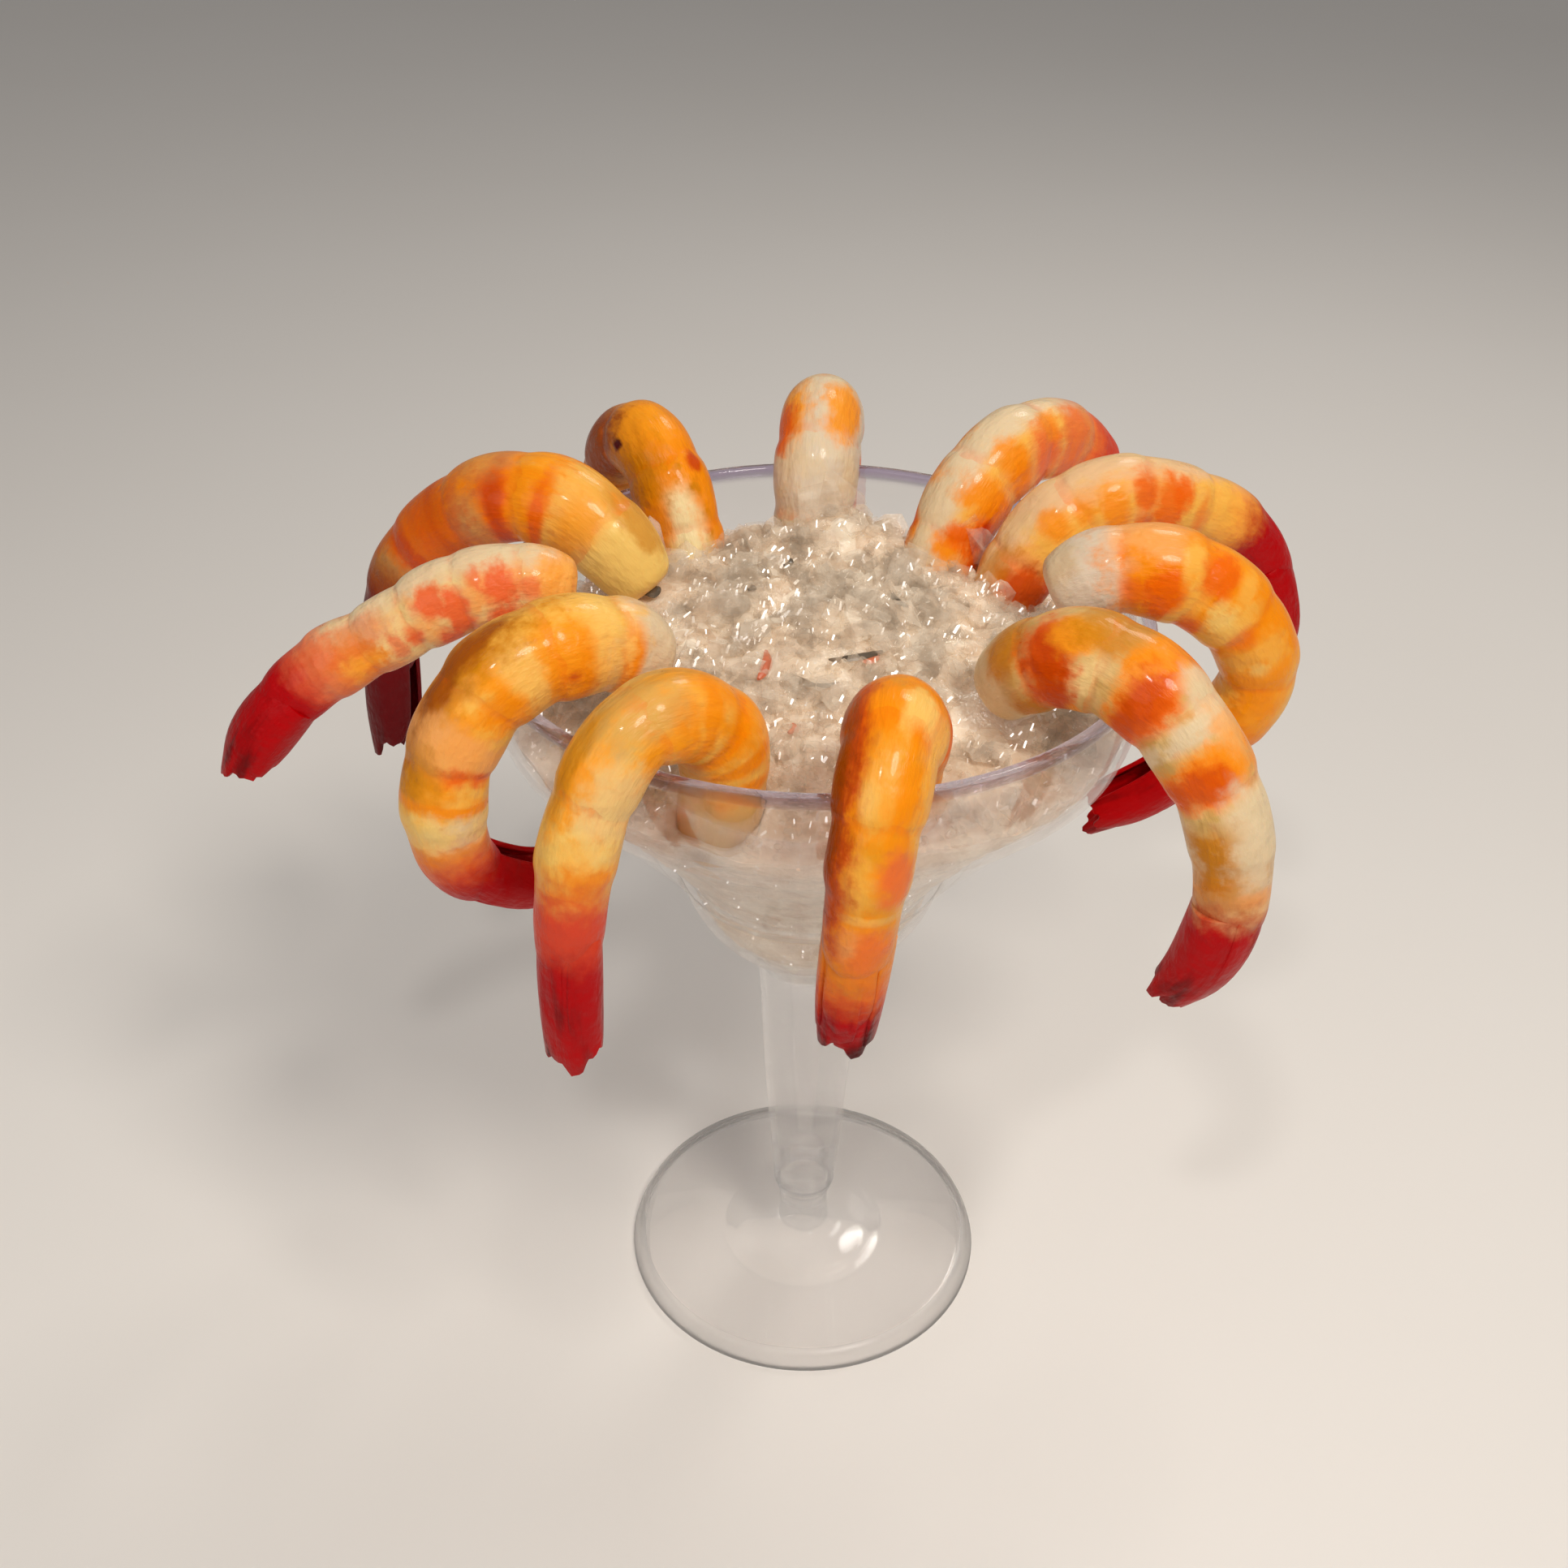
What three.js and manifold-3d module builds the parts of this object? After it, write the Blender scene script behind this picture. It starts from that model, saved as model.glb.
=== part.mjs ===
// A prawn cocktail: eleven cooked prawns, peeled but for their tails, hooked over the rim of a clear
// plastic margarita glass that is heaped with crushed ice.
// Millimetres, +Z up. The glass stands on its foot at z = 0. Everything is built about the glass's
// axis, and the whole group is shifted at the end so that its footprint is centred on the origin.
import * as THREE from "three";
import { mergeVertices } from "three/addons/utils/BufferGeometryUtils.js";
import Module from "manifold-3d";

const wasm = await Module();
wasm.setup();

const DEGREE = Math.PI / 180;
const MERGE_DISTANCE = 1e-4;
const CLEARANCE = 0.35;

// ---- glass: heights above the table, radii from the axis ----
const GLASS_SEGMENTS = 32;
const WALL = 1.5;
const RIM_RADIUS = 57.5;
const RIM_HEIGHT = 156;
const LIP_HEIGHT = 2.6;
const LIP_SWELL = 0.5;
const LIP_ROUND = 0.65;
const KNEE_RADIUS = 54.9;
const KNEE_HEIGHT = 137.8;
const STEP_RADIUS = 24.8;
const STEP_HEIGHT = 102.4;
const WELL_RADIUS = 11.2;
const WELL_HEIGHT = 83;
const RIM_BAND_BOW = 0.9;
const CONE_BOW = -0.9;
const WELL_BOW = 2.7;
const RELIEF_BOTTOM = 107;
const STEM_TOP_RADIUS = 9.9;
const STEM_TOP_HEIGHT = 78.5;
const STEM_MIDDLE_RADIUS = 8.6;
const STEM_MIDDLE_HEIGHT = 50;
const STEM_END_RADIUS = 6.3;
const STEM_END_HEIGHT = 18;
const STEM_WALL = 1.3;

// ---- foot: a dished disc with a turned-down skirt, and the peg that plugs the hollow stem ----
const FOOT_RADIUS = 36.7;
const FOOT_SHOULDER_RADIUS = 35;
const FOOT_PLATE_TOP = 4;
const FOOT_PLATE_THICKNESS = 1.5;
const FOOT_SKIRT = 1.2;
const FOOT_DOME_RADIUS = 16.5;
const FOOT_DOME_RISE = 1.2;
const FOOT_DOME_SLOPE = 4;
const FOOT_EDGE = 0.8;
const FOOT_ROUND = 0.6;
const COLLAR_RADIUS = 5;
const COLLAR_FILLET = 1.8;
const BEAD_RADIUS = 5.8;
const BEAD_HEIGHT = 16.4;
const BEAD_HALF_HEIGHT = 1.1;
const PEG_RADIUS = 4.4;
const PEG_TOP = 27;
const PEG_CHAMFER = 0.6;

// ---- crushed ice ----
const ICE_EDGE_HEIGHT = 142;
const ICE_CROWN_HEIGHT = 155.5;
const ICE_DOME_POWER = 1.7;
const ICE_LUMP = 0.9;
const ICE_LUMP_WAVES = { alongX: 0.41, alongY: 0.37, across: 0.23, startX: 1.3, startY: -0.6 };
const ICE_LUMP_FADE = 6;
const ICE_TOP_RINGS = 8;
const ICE_FLOOR_GAP = 0.4;
const ICE_FLOOR_SHARE = 0.5;
const ICE_EDGE_GAP = 0.9;
const ICE_SEED = 4127;
const ICE_CHIPS = 104;
const ICE_CHIP_MIN = 3.6;
const ICE_CHIP_MAX = 6.6;
const ICE_CHIP_SHAPE = { long: 0.7, longSpread: 0.5, wide: 0.75, thick: 0.4, thickSpread: 0.4 };
const ICE_CHIP_REACH = 0.7;
const ICE_CHIP_LIFT = 0.1;
const ICE_CHIP_HOLD = 0.2;
// Two mounds on the dome: how high each rises, and how far it spreads along x and y.
const ICE_MOUNDS = [
  { x: 3, y: 31, rise: 6.5, spreadX: 9, spreadY: 9 },
  { x: 6, y: 33, rise: 2.6, spreadX: 32, spreadY: 10 },
];
const PEAK_CHIP = { x: 3, y: 33, z: 159, size: 9.5 };
const PRAWN_HOLLOW_GAP = 0.7;

// ---- prawns ----
// seat: degrees round the rim where the prawn crosses it; 0 is the right-hand side, -90 the front.
// turn: degrees that the prawn's own plane is turned away from the glass's axis.
// lean: degrees that it tips sideways. girth: its thickness at the shoulder.
// belly: how deep its belly side is against its back side, where that is not the usual share.
// spine: hand-set points from head end to tail tip, each [out past the rim, up above the rim].
const PRAWNS = [
  { name: "prawn_01", seat: -170, turn: 0, lean: 0, girth: 14.4,
    spine: [[-17, 6], [-8, 7.5], [2, 6], [14, 0], [27, -7.5], [36.5, -17], [41.5, -26.5]] },
  { name: "prawn_02", seat: 157, turn: 4, lean: 0, girth: 17.6,
    spine: [[-24, -6], [-17, 2], [-8, 7.5], [3, 7], [15, 0], [25, -11], [30.5, -25], [32.5, -40], [32.5, -56]] },
  { name: "prawn_03", seat: 125, turn: 2, lean: 0, girth: 15.8,
    spine: [[-15, -16], [-13, -6], [-8, 2], [-1, 7.5], [6.5, 6], [11.5, 0], [14.5, -12], [15.5, -26], [14.5, -44]] },
  { name: "prawn_04", seat: 90, turn: -6, lean: 0, girth: 17.4,
    spine: [[-11, -17], [-10.5, -6], [-7, 2.5], [0, 7.5], [8, 6], [14, -1], [18, -13], [18, -28], [15, -46]] },
  { name: "prawn_05", seat: 52, turn: -8, lean: 0, girth: 15.6, belly: 1.28,
    spine: [[-21, -16], [-16, -4], [-10, 4], [0, 9], [13, 8], [24, 0], [31, -11], [34, -24], [34, -38]] },
  { name: "prawn_06", seat: 31, turn: -14, lean: 0, girth: 16,
    spine: [[-17, -16], [-12, -5], [-5, 3], [5, 6.5], [17, 4], [28, -1], [36.5, -10], [41.5, -22], [42.5, -36]] },
  { name: "prawn_07", seat: 0, turn: 0, lean: 0, girth: 17,
    spine: [[-18, 3], [-10, 7], [-1, 7.5], [8, 4], [16, -4], [18.5, -13.5], [12.5, -25], [4.5, -35], [-10, -43.5]] },
  { name: "prawn_08", seat: -36, turn: 0, lean: 0, girth: 17,
    spine: [[-21, -4], [-15, 3], [-6, 8], [4, 7], [14, -0.5], [21, -12], [23, -26], [20.5, -38], [14, -48.5]] },
  { name: "prawn_09", seat: -79.5, turn: -20, lean: 4.5, girth: 16.8,
    spine: [[-14, -12], [-12, -2], [-7, 7], [1, 10], [8, 5], [12, -4], [13.5, -15], [14, -26], [13.5, -37]] },
  { name: "prawn_10", seat: -115, turn: -27, lean: 0, girth: 15.2,
    spine: [[-10, -20], [-13, -8], [-12, 2], [-5, 8], [3, 7.5], [10, -2], [14, -17], [15.5, -33], [15.5, -49]] },
  { name: "prawn_11", seat: -142, turn: -4, lean: 0, girth: 17.2,
    spine: [[-24, 1], [-16, 6.5], [-6, 8.5], [4, 6], [11, -2], [14, -13], [12, -24], [4, -31], [-8, -34]] },
];
const PRAWN_SIDES = 10;
const PLATES = 5;
const PLATE_STATIONS = [0.04, 0.9];
const PLATE_SWELL = [0.96, 1.035];
const FLESH_END = 0.63;
const LAST_PLATE_STATIONS = 3;
const LAST_PLATE_STEP = 0.93;
const LAST_PLATE_SIZE = 0.97;
const TAIL_ROOT = 0.79;
const HEAD_END_SIZE = 0.62;
const HEAD_TAPER = 0.8;
const HEAD_TAPER_LENGTH = 0.16;
const TAIL_SLIMMING = 0.68;
const SLIMMING_START = 0.3;
const BELLY_FLATTEN = 0.9;
const SIDE_NARROWING = 0.94;
const BLADE_LENGTH = 20;
const BLADE_THICKNESS = 1.6;
const BLADE_ROOT_SINK = 4;
const BLADE_ROOT_OFFSET = 0.42;
// One blade's outline, as shares of [its length, its half width].
const BLADE_OUTLINE = [[0, -0.55], [0.5, -1], [0.84, -0.8], [1, -0.1], [0.88, 0.75], [0.5, 1], [0, 0.55]];
// roll: degrees round the tail from its back. spread: degrees that the blade stands away from it.
// length, width: shares of the full length and of the tail's own half thickness.
const BLADES = [
  { roll: -78, spread: 4, length: 1, width: 0.8 },
  { roll: 0, spread: 1.2, length: 0.85, width: 0.6 },
  { roll: 78, spread: 4, length: 1, width: 0.8 },
];

const COLOURS = {
  clear: { color: 0xd9d3d0, roughness: 0.08, metalness: 0 },
  ice: { color: 0xdcd6d2, roughness: 0.2, metalness: 0 },
  prawn: { color: 0xe8a04c, roughness: 0.35, metalness: 0 },
};

// A repeatable stream of numbers from 0 to 1.
function seededRandom(seed) {
  let state = seed;
  return () => {
    state = (state * 1664525 + 1013904223) % 4294967296;
    return state / 4294967296;
  };
}

// ---- between three.js meshes and solids that can be joined and cut ----

function toSolid(geometry) {
  const bare = geometry.clone();
  bare.deleteAttribute("normal");
  bare.deleteAttribute("uv");
  const merged = mergeVertices(bare, MERGE_DISTANCE);
  const index = merged.index.array;
  const faces = [];
  for (let i = 0; i < index.length; i += 3) {
    const [a, b, c] = [index[i], index[i + 1], index[i + 2]];
    if (a !== b && b !== c && c !== a) {
      faces.push(a, b, c);
    }
  }
  return new wasm.Manifold(new wasm.Mesh({
    numProp: 3,
    vertProperties: new Float32Array(merged.attributes.position.array),
    triVerts: new Uint32Array(faces),
  }));
}

function toGeometry(solid) {
  const mesh = solid.getMesh();
  const geometry = new THREE.BufferGeometry();
  geometry.setAttribute("position", new THREE.BufferAttribute(mesh.vertProperties, 3));
  geometry.setIndex(new THREE.BufferAttribute(mesh.triVerts, 1));
  geometry.computeVertexNormals();
  return geometry;
}

// What is left of a cut solid without any loose scraps.
function largestBody(solid) {
  return solid.decompose().reduce((best, piece) => (piece.volume() > best.volume() ? piece : best));
}

function lathe(points) {
  const profile = points.map(([radius, height]) => new THREE.Vector2(radius, height));
  return new THREE.LatheGeometry(profile, GLASS_SEGMENTS).rotateX(90 * DEGREE);
}

// Closes a stack of equal rings of points into a solid, with a flat fan over each end.
function loft(rings) {
  const sides = rings[0].length;
  const points = rings.flat();
  const first = points.length;
  for (const ring of [rings[0], rings[rings.length - 1]]) {
    const centre = ring.reduce((sum, p) => sum.add(p), new THREE.Vector3()).divideScalar(sides);
    points.push(centre);
  }
  const faces = [];
  for (let side = 0; side < sides; side += 1) {
    const next = (side + 1) % sides;
    faces.push(first, next, side);
    const last = (rings.length - 1) * sides;
    faces.push(first + 1, last + side, last + next);
    for (let ring = 0; ring < rings.length - 1; ring += 1) {
      const a = ring * sides;
      const b = a + sides;
      faces.push(a + side, a + next, b + next);
      faces.push(a + side, b + next, b + side);
    }
  }
  const geometry = new THREE.BufferGeometry().setFromPoints(points);
  geometry.setIndex(faces);
  return geometry;
}

// ---- glass ----

// Points from one [radius, height] to another, bowed outwards by the given amount at mid-way.
function bowed(from, to, bow, steps) {
  const span = [to[0] - from[0], to[1] - from[1]];
  const length = Math.hypot(span[0], span[1]);
  const normal = [-span[1] / length, span[0] / length];
  return Array.from({ length: steps + 1 }, (_, i) => {
    const t = i / steps;
    const push = bow * 4 * t * (1 - t);
    return [from[0] + span[0] * t + normal[0] * push, from[1] + span[1] * t + normal[1] * push];
  });
}

// The bowl's outer face from just under its lip down to the bottom of the small well.
function bowlFace() {
  const underLip = [RIM_RADIUS - LIP_SWELL, RIM_HEIGHT - LIP_HEIGHT];
  const knee = [KNEE_RADIUS, KNEE_HEIGHT];
  const step = [STEP_RADIUS, STEP_HEIGHT];
  const well = [WELL_RADIUS, WELL_HEIGHT];
  return [
    ...bowed(underLip, knee, RIM_BAND_BOW, 3),
    ...bowed(knee, step, CONE_BOW, 3).slice(1),
    ...bowed(step, well, WELL_BOW, 4).slice(1),
  ];
}

// The same face moved inwards by a thickness, square to itself.
function insideOf(face, thickness) {
  return face.map(([radius, height], i) => {
    const before = face[Math.max(i - 1, 0)];
    const after = face[Math.min(i + 1, face.length - 1)];
    const span = [after[0] - before[0], after[1] - before[1]];
    const length = Math.hypot(span[0], span[1]);
    return [radius + (span[1] / length) * thickness, height - (span[0] / length) * thickness];
  });
}

function glassBowl() {
  const outer = bowlFace();
  const inner = insideOf(outer, WALL);
  const lipInside = RIM_RADIUS - WALL - LIP_SWELL;
  const lip = [
    [lipInside, RIM_HEIGHT - LIP_ROUND],
    [lipInside + LIP_ROUND, RIM_HEIGHT],
    [RIM_RADIUS - LIP_ROUND, RIM_HEIGHT],
    [RIM_RADIUS, RIM_HEIGHT - LIP_ROUND],
    [RIM_RADIUS, RIM_HEIGHT - LIP_HEIGHT + LIP_ROUND],
  ];
  const floor = inner[inner.length - 1];
  const stemOuter = [
    [STEM_TOP_RADIUS, STEM_TOP_HEIGHT],
    [STEM_MIDDLE_RADIUS, STEM_MIDDLE_HEIGHT],
    [STEM_END_RADIUS, STEM_END_HEIGHT],
  ];
  const stemInner = stemOuter.map(([radius, height]) => [radius - STEM_WALL, height]).reverse();
  return lathe([
    [0, floor[1]],
    ...inner.slice().reverse(),
    ...lip,
    ...outer,
    ...stemOuter,
    ...stemInner,
    [0, STEM_TOP_HEIGHT + WALL],
  ].reverse());
}

// The bowl's wall and lip with the clearance round them, which flesh that rests on them gives way to.
function rimRelief() {
  const face = bowlFace().filter(([, height]) => height > RELIEF_BOTTOM);
  const inner = insideOf(face, WALL + CLEARANCE);
  const outer = insideOf(face, -CLEARANCE);
  const lipInside = RIM_RADIUS - WALL - LIP_SWELL - CLEARANCE;
  const lipOutside = RIM_RADIUS + CLEARANCE;
  const lipTop = RIM_HEIGHT + CLEARANCE;
  return lathe([
    ...outer.slice().reverse(),
    [lipOutside, RIM_HEIGHT - LIP_HEIGHT],
    [lipOutside, lipTop],
    [lipInside, lipTop],
    [lipInside, RIM_HEIGHT - LIP_HEIGHT],
    ...inner,
    outer[outer.length - 1],
  ]);
}

function glassFoot() {
  const plateBottom = FOOT_PLATE_TOP - FOOT_PLATE_THICKNESS;
  const domeTop = FOOT_PLATE_TOP + FOOT_DOME_RISE;
  const domeEdge = FOOT_DOME_RADIUS - FOOT_DOME_SLOPE;
  return lathe([
    [0, plateBottom + FOOT_DOME_RISE],
    [domeEdge, plateBottom + FOOT_DOME_RISE],
    [FOOT_DOME_RADIUS, plateBottom],
    [FOOT_SHOULDER_RADIUS - FOOT_SKIRT, plateBottom],
    [FOOT_RADIUS - FOOT_SKIRT, 0],
    [FOOT_RADIUS, 0],
    [FOOT_RADIUS, FOOT_EDGE],
    [FOOT_SHOULDER_RADIUS + FOOT_ROUND, FOOT_PLATE_TOP - FOOT_ROUND],
    [FOOT_SHOULDER_RADIUS - FOOT_ROUND, FOOT_PLATE_TOP],
    [FOOT_DOME_RADIUS, FOOT_PLATE_TOP],
    [domeEdge, domeTop],
    [COLLAR_RADIUS + COLLAR_FILLET, domeTop + COLLAR_FILLET / 4],
    [COLLAR_RADIUS, domeTop + COLLAR_FILLET],
    [COLLAR_RADIUS, BEAD_HEIGHT - BEAD_HALF_HEIGHT],
    [BEAD_RADIUS, BEAD_HEIGHT - BEAD_HALF_HEIGHT / 2],
    [BEAD_RADIUS, BEAD_HEIGHT + BEAD_HALF_HEIGHT / 2],
    [PEG_RADIUS, BEAD_HEIGHT + BEAD_HALF_HEIGHT],
    [PEG_RADIUS, PEG_TOP - PEG_CHAMFER],
    [PEG_RADIUS - PEG_CHAMFER, PEG_TOP],
    [0, PEG_TOP],
  ]);
}

// ---- prawns ----

// The upright, possibly leaning, plane that a prawn is curled in.
function prawnPlane(prawn) {
  const seat = prawn.seat * DEGREE;
  const heading = (prawn.seat + prawn.turn) * DEGREE;
  const outward = new THREE.Vector3(Math.cos(heading), Math.sin(heading), 0);
  const level = new THREE.Vector3(-Math.sin(heading), Math.cos(heading), 0);
  const lean = prawn.lean * DEGREE;
  const up = new THREE.Vector3(0, 0, Math.cos(lean)).addScaledVector(level, Math.sin(lean));
  const side = level.multiplyScalar(Math.cos(lean)).sub(new THREE.Vector3(0, 0, Math.sin(lean)));
  const rimPoint = new THREE.Vector3(Math.cos(seat), Math.sin(seat), 0).multiplyScalar(RIM_RADIUS);
  rimPoint.z = RIM_HEIGHT;
  return { outward, up, side, rimPoint };
}

function spineOf(prawn, plane) {
  const points = prawn.spine.map(([out, rise]) => plane.rimPoint.clone()
    .addScaledVector(plane.outward, out)
    .addScaledVector(plane.up, rise));
  return new THREE.CatmullRomCurve3(points, false, "centripetal");
}

// How the body thickens and thins, as a share of its girth, from head end (0) to tail tip (1).
function bodyShare(along) {
  const headRound = HEAD_TAPER + (1 - HEAD_TAPER) * Math.min(along / HEAD_TAPER_LENGTH, 1);
  const slimming = 1 - TAIL_SLIMMING * Math.max(along - SLIMMING_START, 0);
  return headRound * slimming;
}

// [share of the length, size against girth] for each ring of the body. Each plate swells a little
// towards its back edge and steps in where the next one starts.
function bodyStations() {
  const stations = [[0, bodyShare(0) * HEAD_END_SIZE]];
  for (let plate = 0; plate < PLATES; plate += 1) {
    PLATE_STATIONS.forEach((share, i) => {
      const along = ((plate + share) / PLATES) * FLESH_END;
      stations.push([along, bodyShare(along) * PLATE_SWELL[i]]);
    });
  }
  const spacing = (TAIL_ROOT - FLESH_END) / LAST_PLATE_STATIONS;
  for (let i = 0; i <= LAST_PLATE_STATIONS; i += 1) {
    const along = FLESH_END + spacing * i;
    stations.push([along, bodyShare(along) * (i === 0 ? LAST_PLATE_STEP : LAST_PLATE_SIZE)]);
  }
  return stations;
}

// The body's rings of points, each standing out by the extra amount, with the head end as far back.
function prawnBody(prawn, curve, side, extra) {
  return bodyStations().map(([along, share]) => {
    const centre = curve.getPointAt(along);
    if (along === 0) {
      centre.addScaledVector(curve.getTangentAt(0), -extra);
    }
    const back = curve.getTangentAt(along).cross(side).normalize();
    const half = (prawn.girth / 2) * share + extra;
    return Array.from({ length: PRAWN_SIDES }, (_, i) => {
      const turn = (i / PRAWN_SIDES) * 360 * DEGREE;
      const belly = Math.cos(turn) < 0 ? prawn.belly ?? BELLY_FLATTEN : 1;
      return centre.clone()
        .addScaledVector(back, Math.cos(turn) * half * belly)
        .addScaledVector(side, -Math.sin(turn) * half * SIDE_NARROWING);
    });
  });
}

// One blade of the tail fan, lying along +X in the XY plane with its root at the origin.
function tailBlade(length, halfWidth) {
  const outline = BLADE_OUTLINE.map(([along, across]) => {
    return new THREE.Vector2(along * length, across * halfWidth);
  });
  return new THREE.ExtrudeGeometry(new THREE.Shape(outline), {
    depth: BLADE_THICKNESS,
    bevelEnabled: false,
  });
}

function prawnTail(prawn, curve, side) {
  const root = curve.getPointAt(TAIL_ROOT);
  const along = curve.getTangentAt(TAIL_ROOT);
  const back = along.clone().cross(side).normalize();
  const half = (prawn.girth / 2) * bodyShare(TAIL_ROOT);
  return BLADES.map((blade) => {
    const roll = blade.roll * DEGREE;
    const spread = blade.spread * DEGREE;
    const away = back.clone().multiplyScalar(Math.cos(roll)).addScaledVector(side, Math.sin(roll));
    const length = along.clone().multiplyScalar(Math.cos(spread));
    length.addScaledVector(away, Math.sin(spread));
    const thick = length.clone().cross(away).cross(length).normalize();
    const across = thick.clone().cross(length);
    const place = root.clone()
      .addScaledVector(away, half * BLADE_ROOT_OFFSET)
      .addScaledVector(along, -BLADE_ROOT_SINK);
    const plate = tailBlade(BLADE_LENGTH * blade.length, half * blade.width);
    plate.applyMatrix4(new THREE.Matrix4().makeBasis(length, across, thick).setPosition(place));
    return toSolid(plate);
  });
}

function prawnSolid(prawn, relief) {
  const plane = prawnPlane(prawn);
  const curve = spineOf(prawn, plane);
  const body = toSolid(loft(prawnBody(prawn, curve, plane.side, 0))).subtract(relief);
  const whole = prawnTail(prawn, curve, plane.side).reduce((sum, blade) => sum.add(blade), body);
  return largestBody(whole);
}

// ---- crushed ice ----

function iceEdgeRadius() {
  return RIM_RADIUS - LIP_SWELL - WALL - CLEARANCE - ICE_EDGE_GAP;
}

// How high the ice stands over a point, within a wall of the given radius.
function iceHeight(x, y, wallRadius) {
  const share = Math.min(Math.hypot(x, y) / wallRadius, 1);
  const dome = 1 - share ** ICE_DOME_POWER;
  const wave = ICE_LUMP_WAVES;
  const lumps = Math.sin(x * wave.alongX + wave.startX) * Math.cos(y * wave.alongY + wave.startY)
    + Math.sin((x - y) * wave.across);
  const heap = ICE_MOUNDS.reduce((sum, mound) => {
    const from = Math.hypot((x - mound.x) / mound.spreadX, (y - mound.y) / mound.spreadY);
    return sum + mound.rise * Math.exp(-(from ** 2));
  }, 0);
  const uneven = (heap + ICE_LUMP * lumps) * (1 - share ** ICE_LUMP_FADE);
  return ICE_EDGE_HEIGHT + (ICE_CROWN_HEIGHT - ICE_EDGE_HEIGHT) * dome + uneven;
}

// The packed core: the inside of the bowl, filled to a lumpy dome.
function iceCore() {
  const face = insideOf(bowlFace(), WALL + CLEARANCE).filter(([, height]) => height < ICE_EDGE_HEIGHT);
  const floor = face[face.length - 1];
  const edgeRadius = iceEdgeRadius();
  const profile = [
    [floor[0] * ICE_FLOOR_SHARE, floor[1] + ICE_FLOOR_GAP],
    ...face.reverse(),
    [edgeRadius, ICE_EDGE_HEIGHT],
  ];
  const rings = profile.map(([radius, height]) => iceRing(radius, () => height));
  for (let ring = 1; ring < ICE_TOP_RINGS; ring += 1) {
    const radius = edgeRadius * (1 - ring / ICE_TOP_RINGS);
    rings.push(iceRing(radius, (x, y) => iceHeight(x, y, edgeRadius)));
  }
  return toSolid(loft(rings));
}

function iceRing(radius, heightAt) {
  return Array.from({ length: GLASS_SEGMENTS }, (_, i) => {
    const turn = (i / GLASS_SEGMENTS) * 360 * DEGREE;
    const [x, y] = [radius * Math.cos(turn), radius * Math.sin(turn)];
    return new THREE.Vector3(x, y, heightAt(x, y));
  });
}

// One angular chip, tumbled and of its own proportions, so that no two are alike.
function iceChip(size, random) {
  const shape = ICE_CHIP_SHAPE;
  const long = size * (shape.long + shape.longSpread * random());
  const thick = size * (shape.thick + shape.thickSpread * random());
  const chip = new THREE.BoxGeometry(long, size * shape.wide, thick);
  chip.rotateX(random() * 180 * DEGREE);
  chip.rotateY(random() * 180 * DEGREE);
  chip.rotateZ(random() * 180 * DEGREE);
  return chip;
}

// True where a ball of the given radius would touch a prawn.
function meetsPrawn(point, radius, prawnLines) {
  return prawnLines.some((line) => line.some(({ centre, half }) => {
    return centre.distanceTo(point) < half + radius + CLEARANCE;
  }));
}

function crushedIce() {
  const planes = PRAWNS.map(prawnPlane);
  const curves = PRAWNS.map((prawn, i) => spineOf(prawn, planes[i]));
  const lines = PRAWNS.map((prawn, i) => bodyStations().map(([along, share]) => ({
    centre: curves[i].getPointAt(along),
    half: (prawn.girth / 2) * share,
  })));
  let ice = iceCore();
  PRAWNS.forEach((prawn, i) => {
    ice = ice.subtract(toSolid(loft(prawnBody(prawn, curves[i], planes[i].side, PRAWN_HOLLOW_GAP))));
  });
  const random = seededRandom(ICE_SEED);
  const edgeRadius = iceEdgeRadius();
  for (let i = 0; i < ICE_CHIPS; i += 1) {
    const size = ICE_CHIP_MIN + (ICE_CHIP_MAX - ICE_CHIP_MIN) * random() ** 2;
    const radius = (edgeRadius - size) * Math.sqrt(random());
    const turn = random() * 360 * DEGREE;
    const chip = iceChip(size, random);
    const spot = new THREE.Vector3(radius * Math.cos(turn), radius * Math.sin(turn), 0);
    spot.z = iceHeight(spot.x, spot.y, edgeRadius) + size * ICE_CHIP_LIFT;
    const piece = toSolid(chip.translate(spot.x, spot.y, spot.z));
    const isHeld = ice.intersect(piece).volume() > ICE_CHIP_HOLD * piece.volume();
    if (isHeld && !meetsPrawn(spot, size * ICE_CHIP_REACH, lines)) {
      ice = ice.add(piece);
    }
  }
  const peak = iceChip(PEAK_CHIP.size, random).translate(PEAK_CHIP.x, PEAK_CHIP.y, PEAK_CHIP.z);
  return largestBody(ice.add(toSolid(peak)));
}

// ---- the whole thing ----

function named(name, geometry, look) {
  const mesh = new THREE.Mesh(geometry, new THREE.MeshStandardMaterial(look));
  mesh.name = name;
  return mesh;
}

const cocktail = new THREE.Group();
cocktail.add(named("glass_foot", toGeometry(toSolid(glassFoot())), COLOURS.clear));
cocktail.add(named("glass_bowl", toGeometry(toSolid(glassBowl())), COLOURS.clear));
cocktail.add(named("crushed_ice", toGeometry(crushedIce()), COLOURS.ice));
const relief = toSolid(rimRelief());
for (const prawn of PRAWNS) {
  cocktail.add(named(prawn.name, toGeometry(prawnSolid(prawn, relief)), COLOURS.prawn));
}

const footprint = new THREE.Box3().setFromObject(cocktail).getCenter(new THREE.Vector3());
cocktail.position.set(-footprint.x, -footprint.y, 0);

export default cocktail;
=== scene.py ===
"""A prawn cocktail: prawns hooked over the rim of a clear margarita glass of crushed ice."""
import math
import random

import bpy
import numpy as np
from bpy.props import FloatProperty, FloatVectorProperty, IntProperty, PointerProperty
from mathutils import Matrix, Vector


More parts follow.
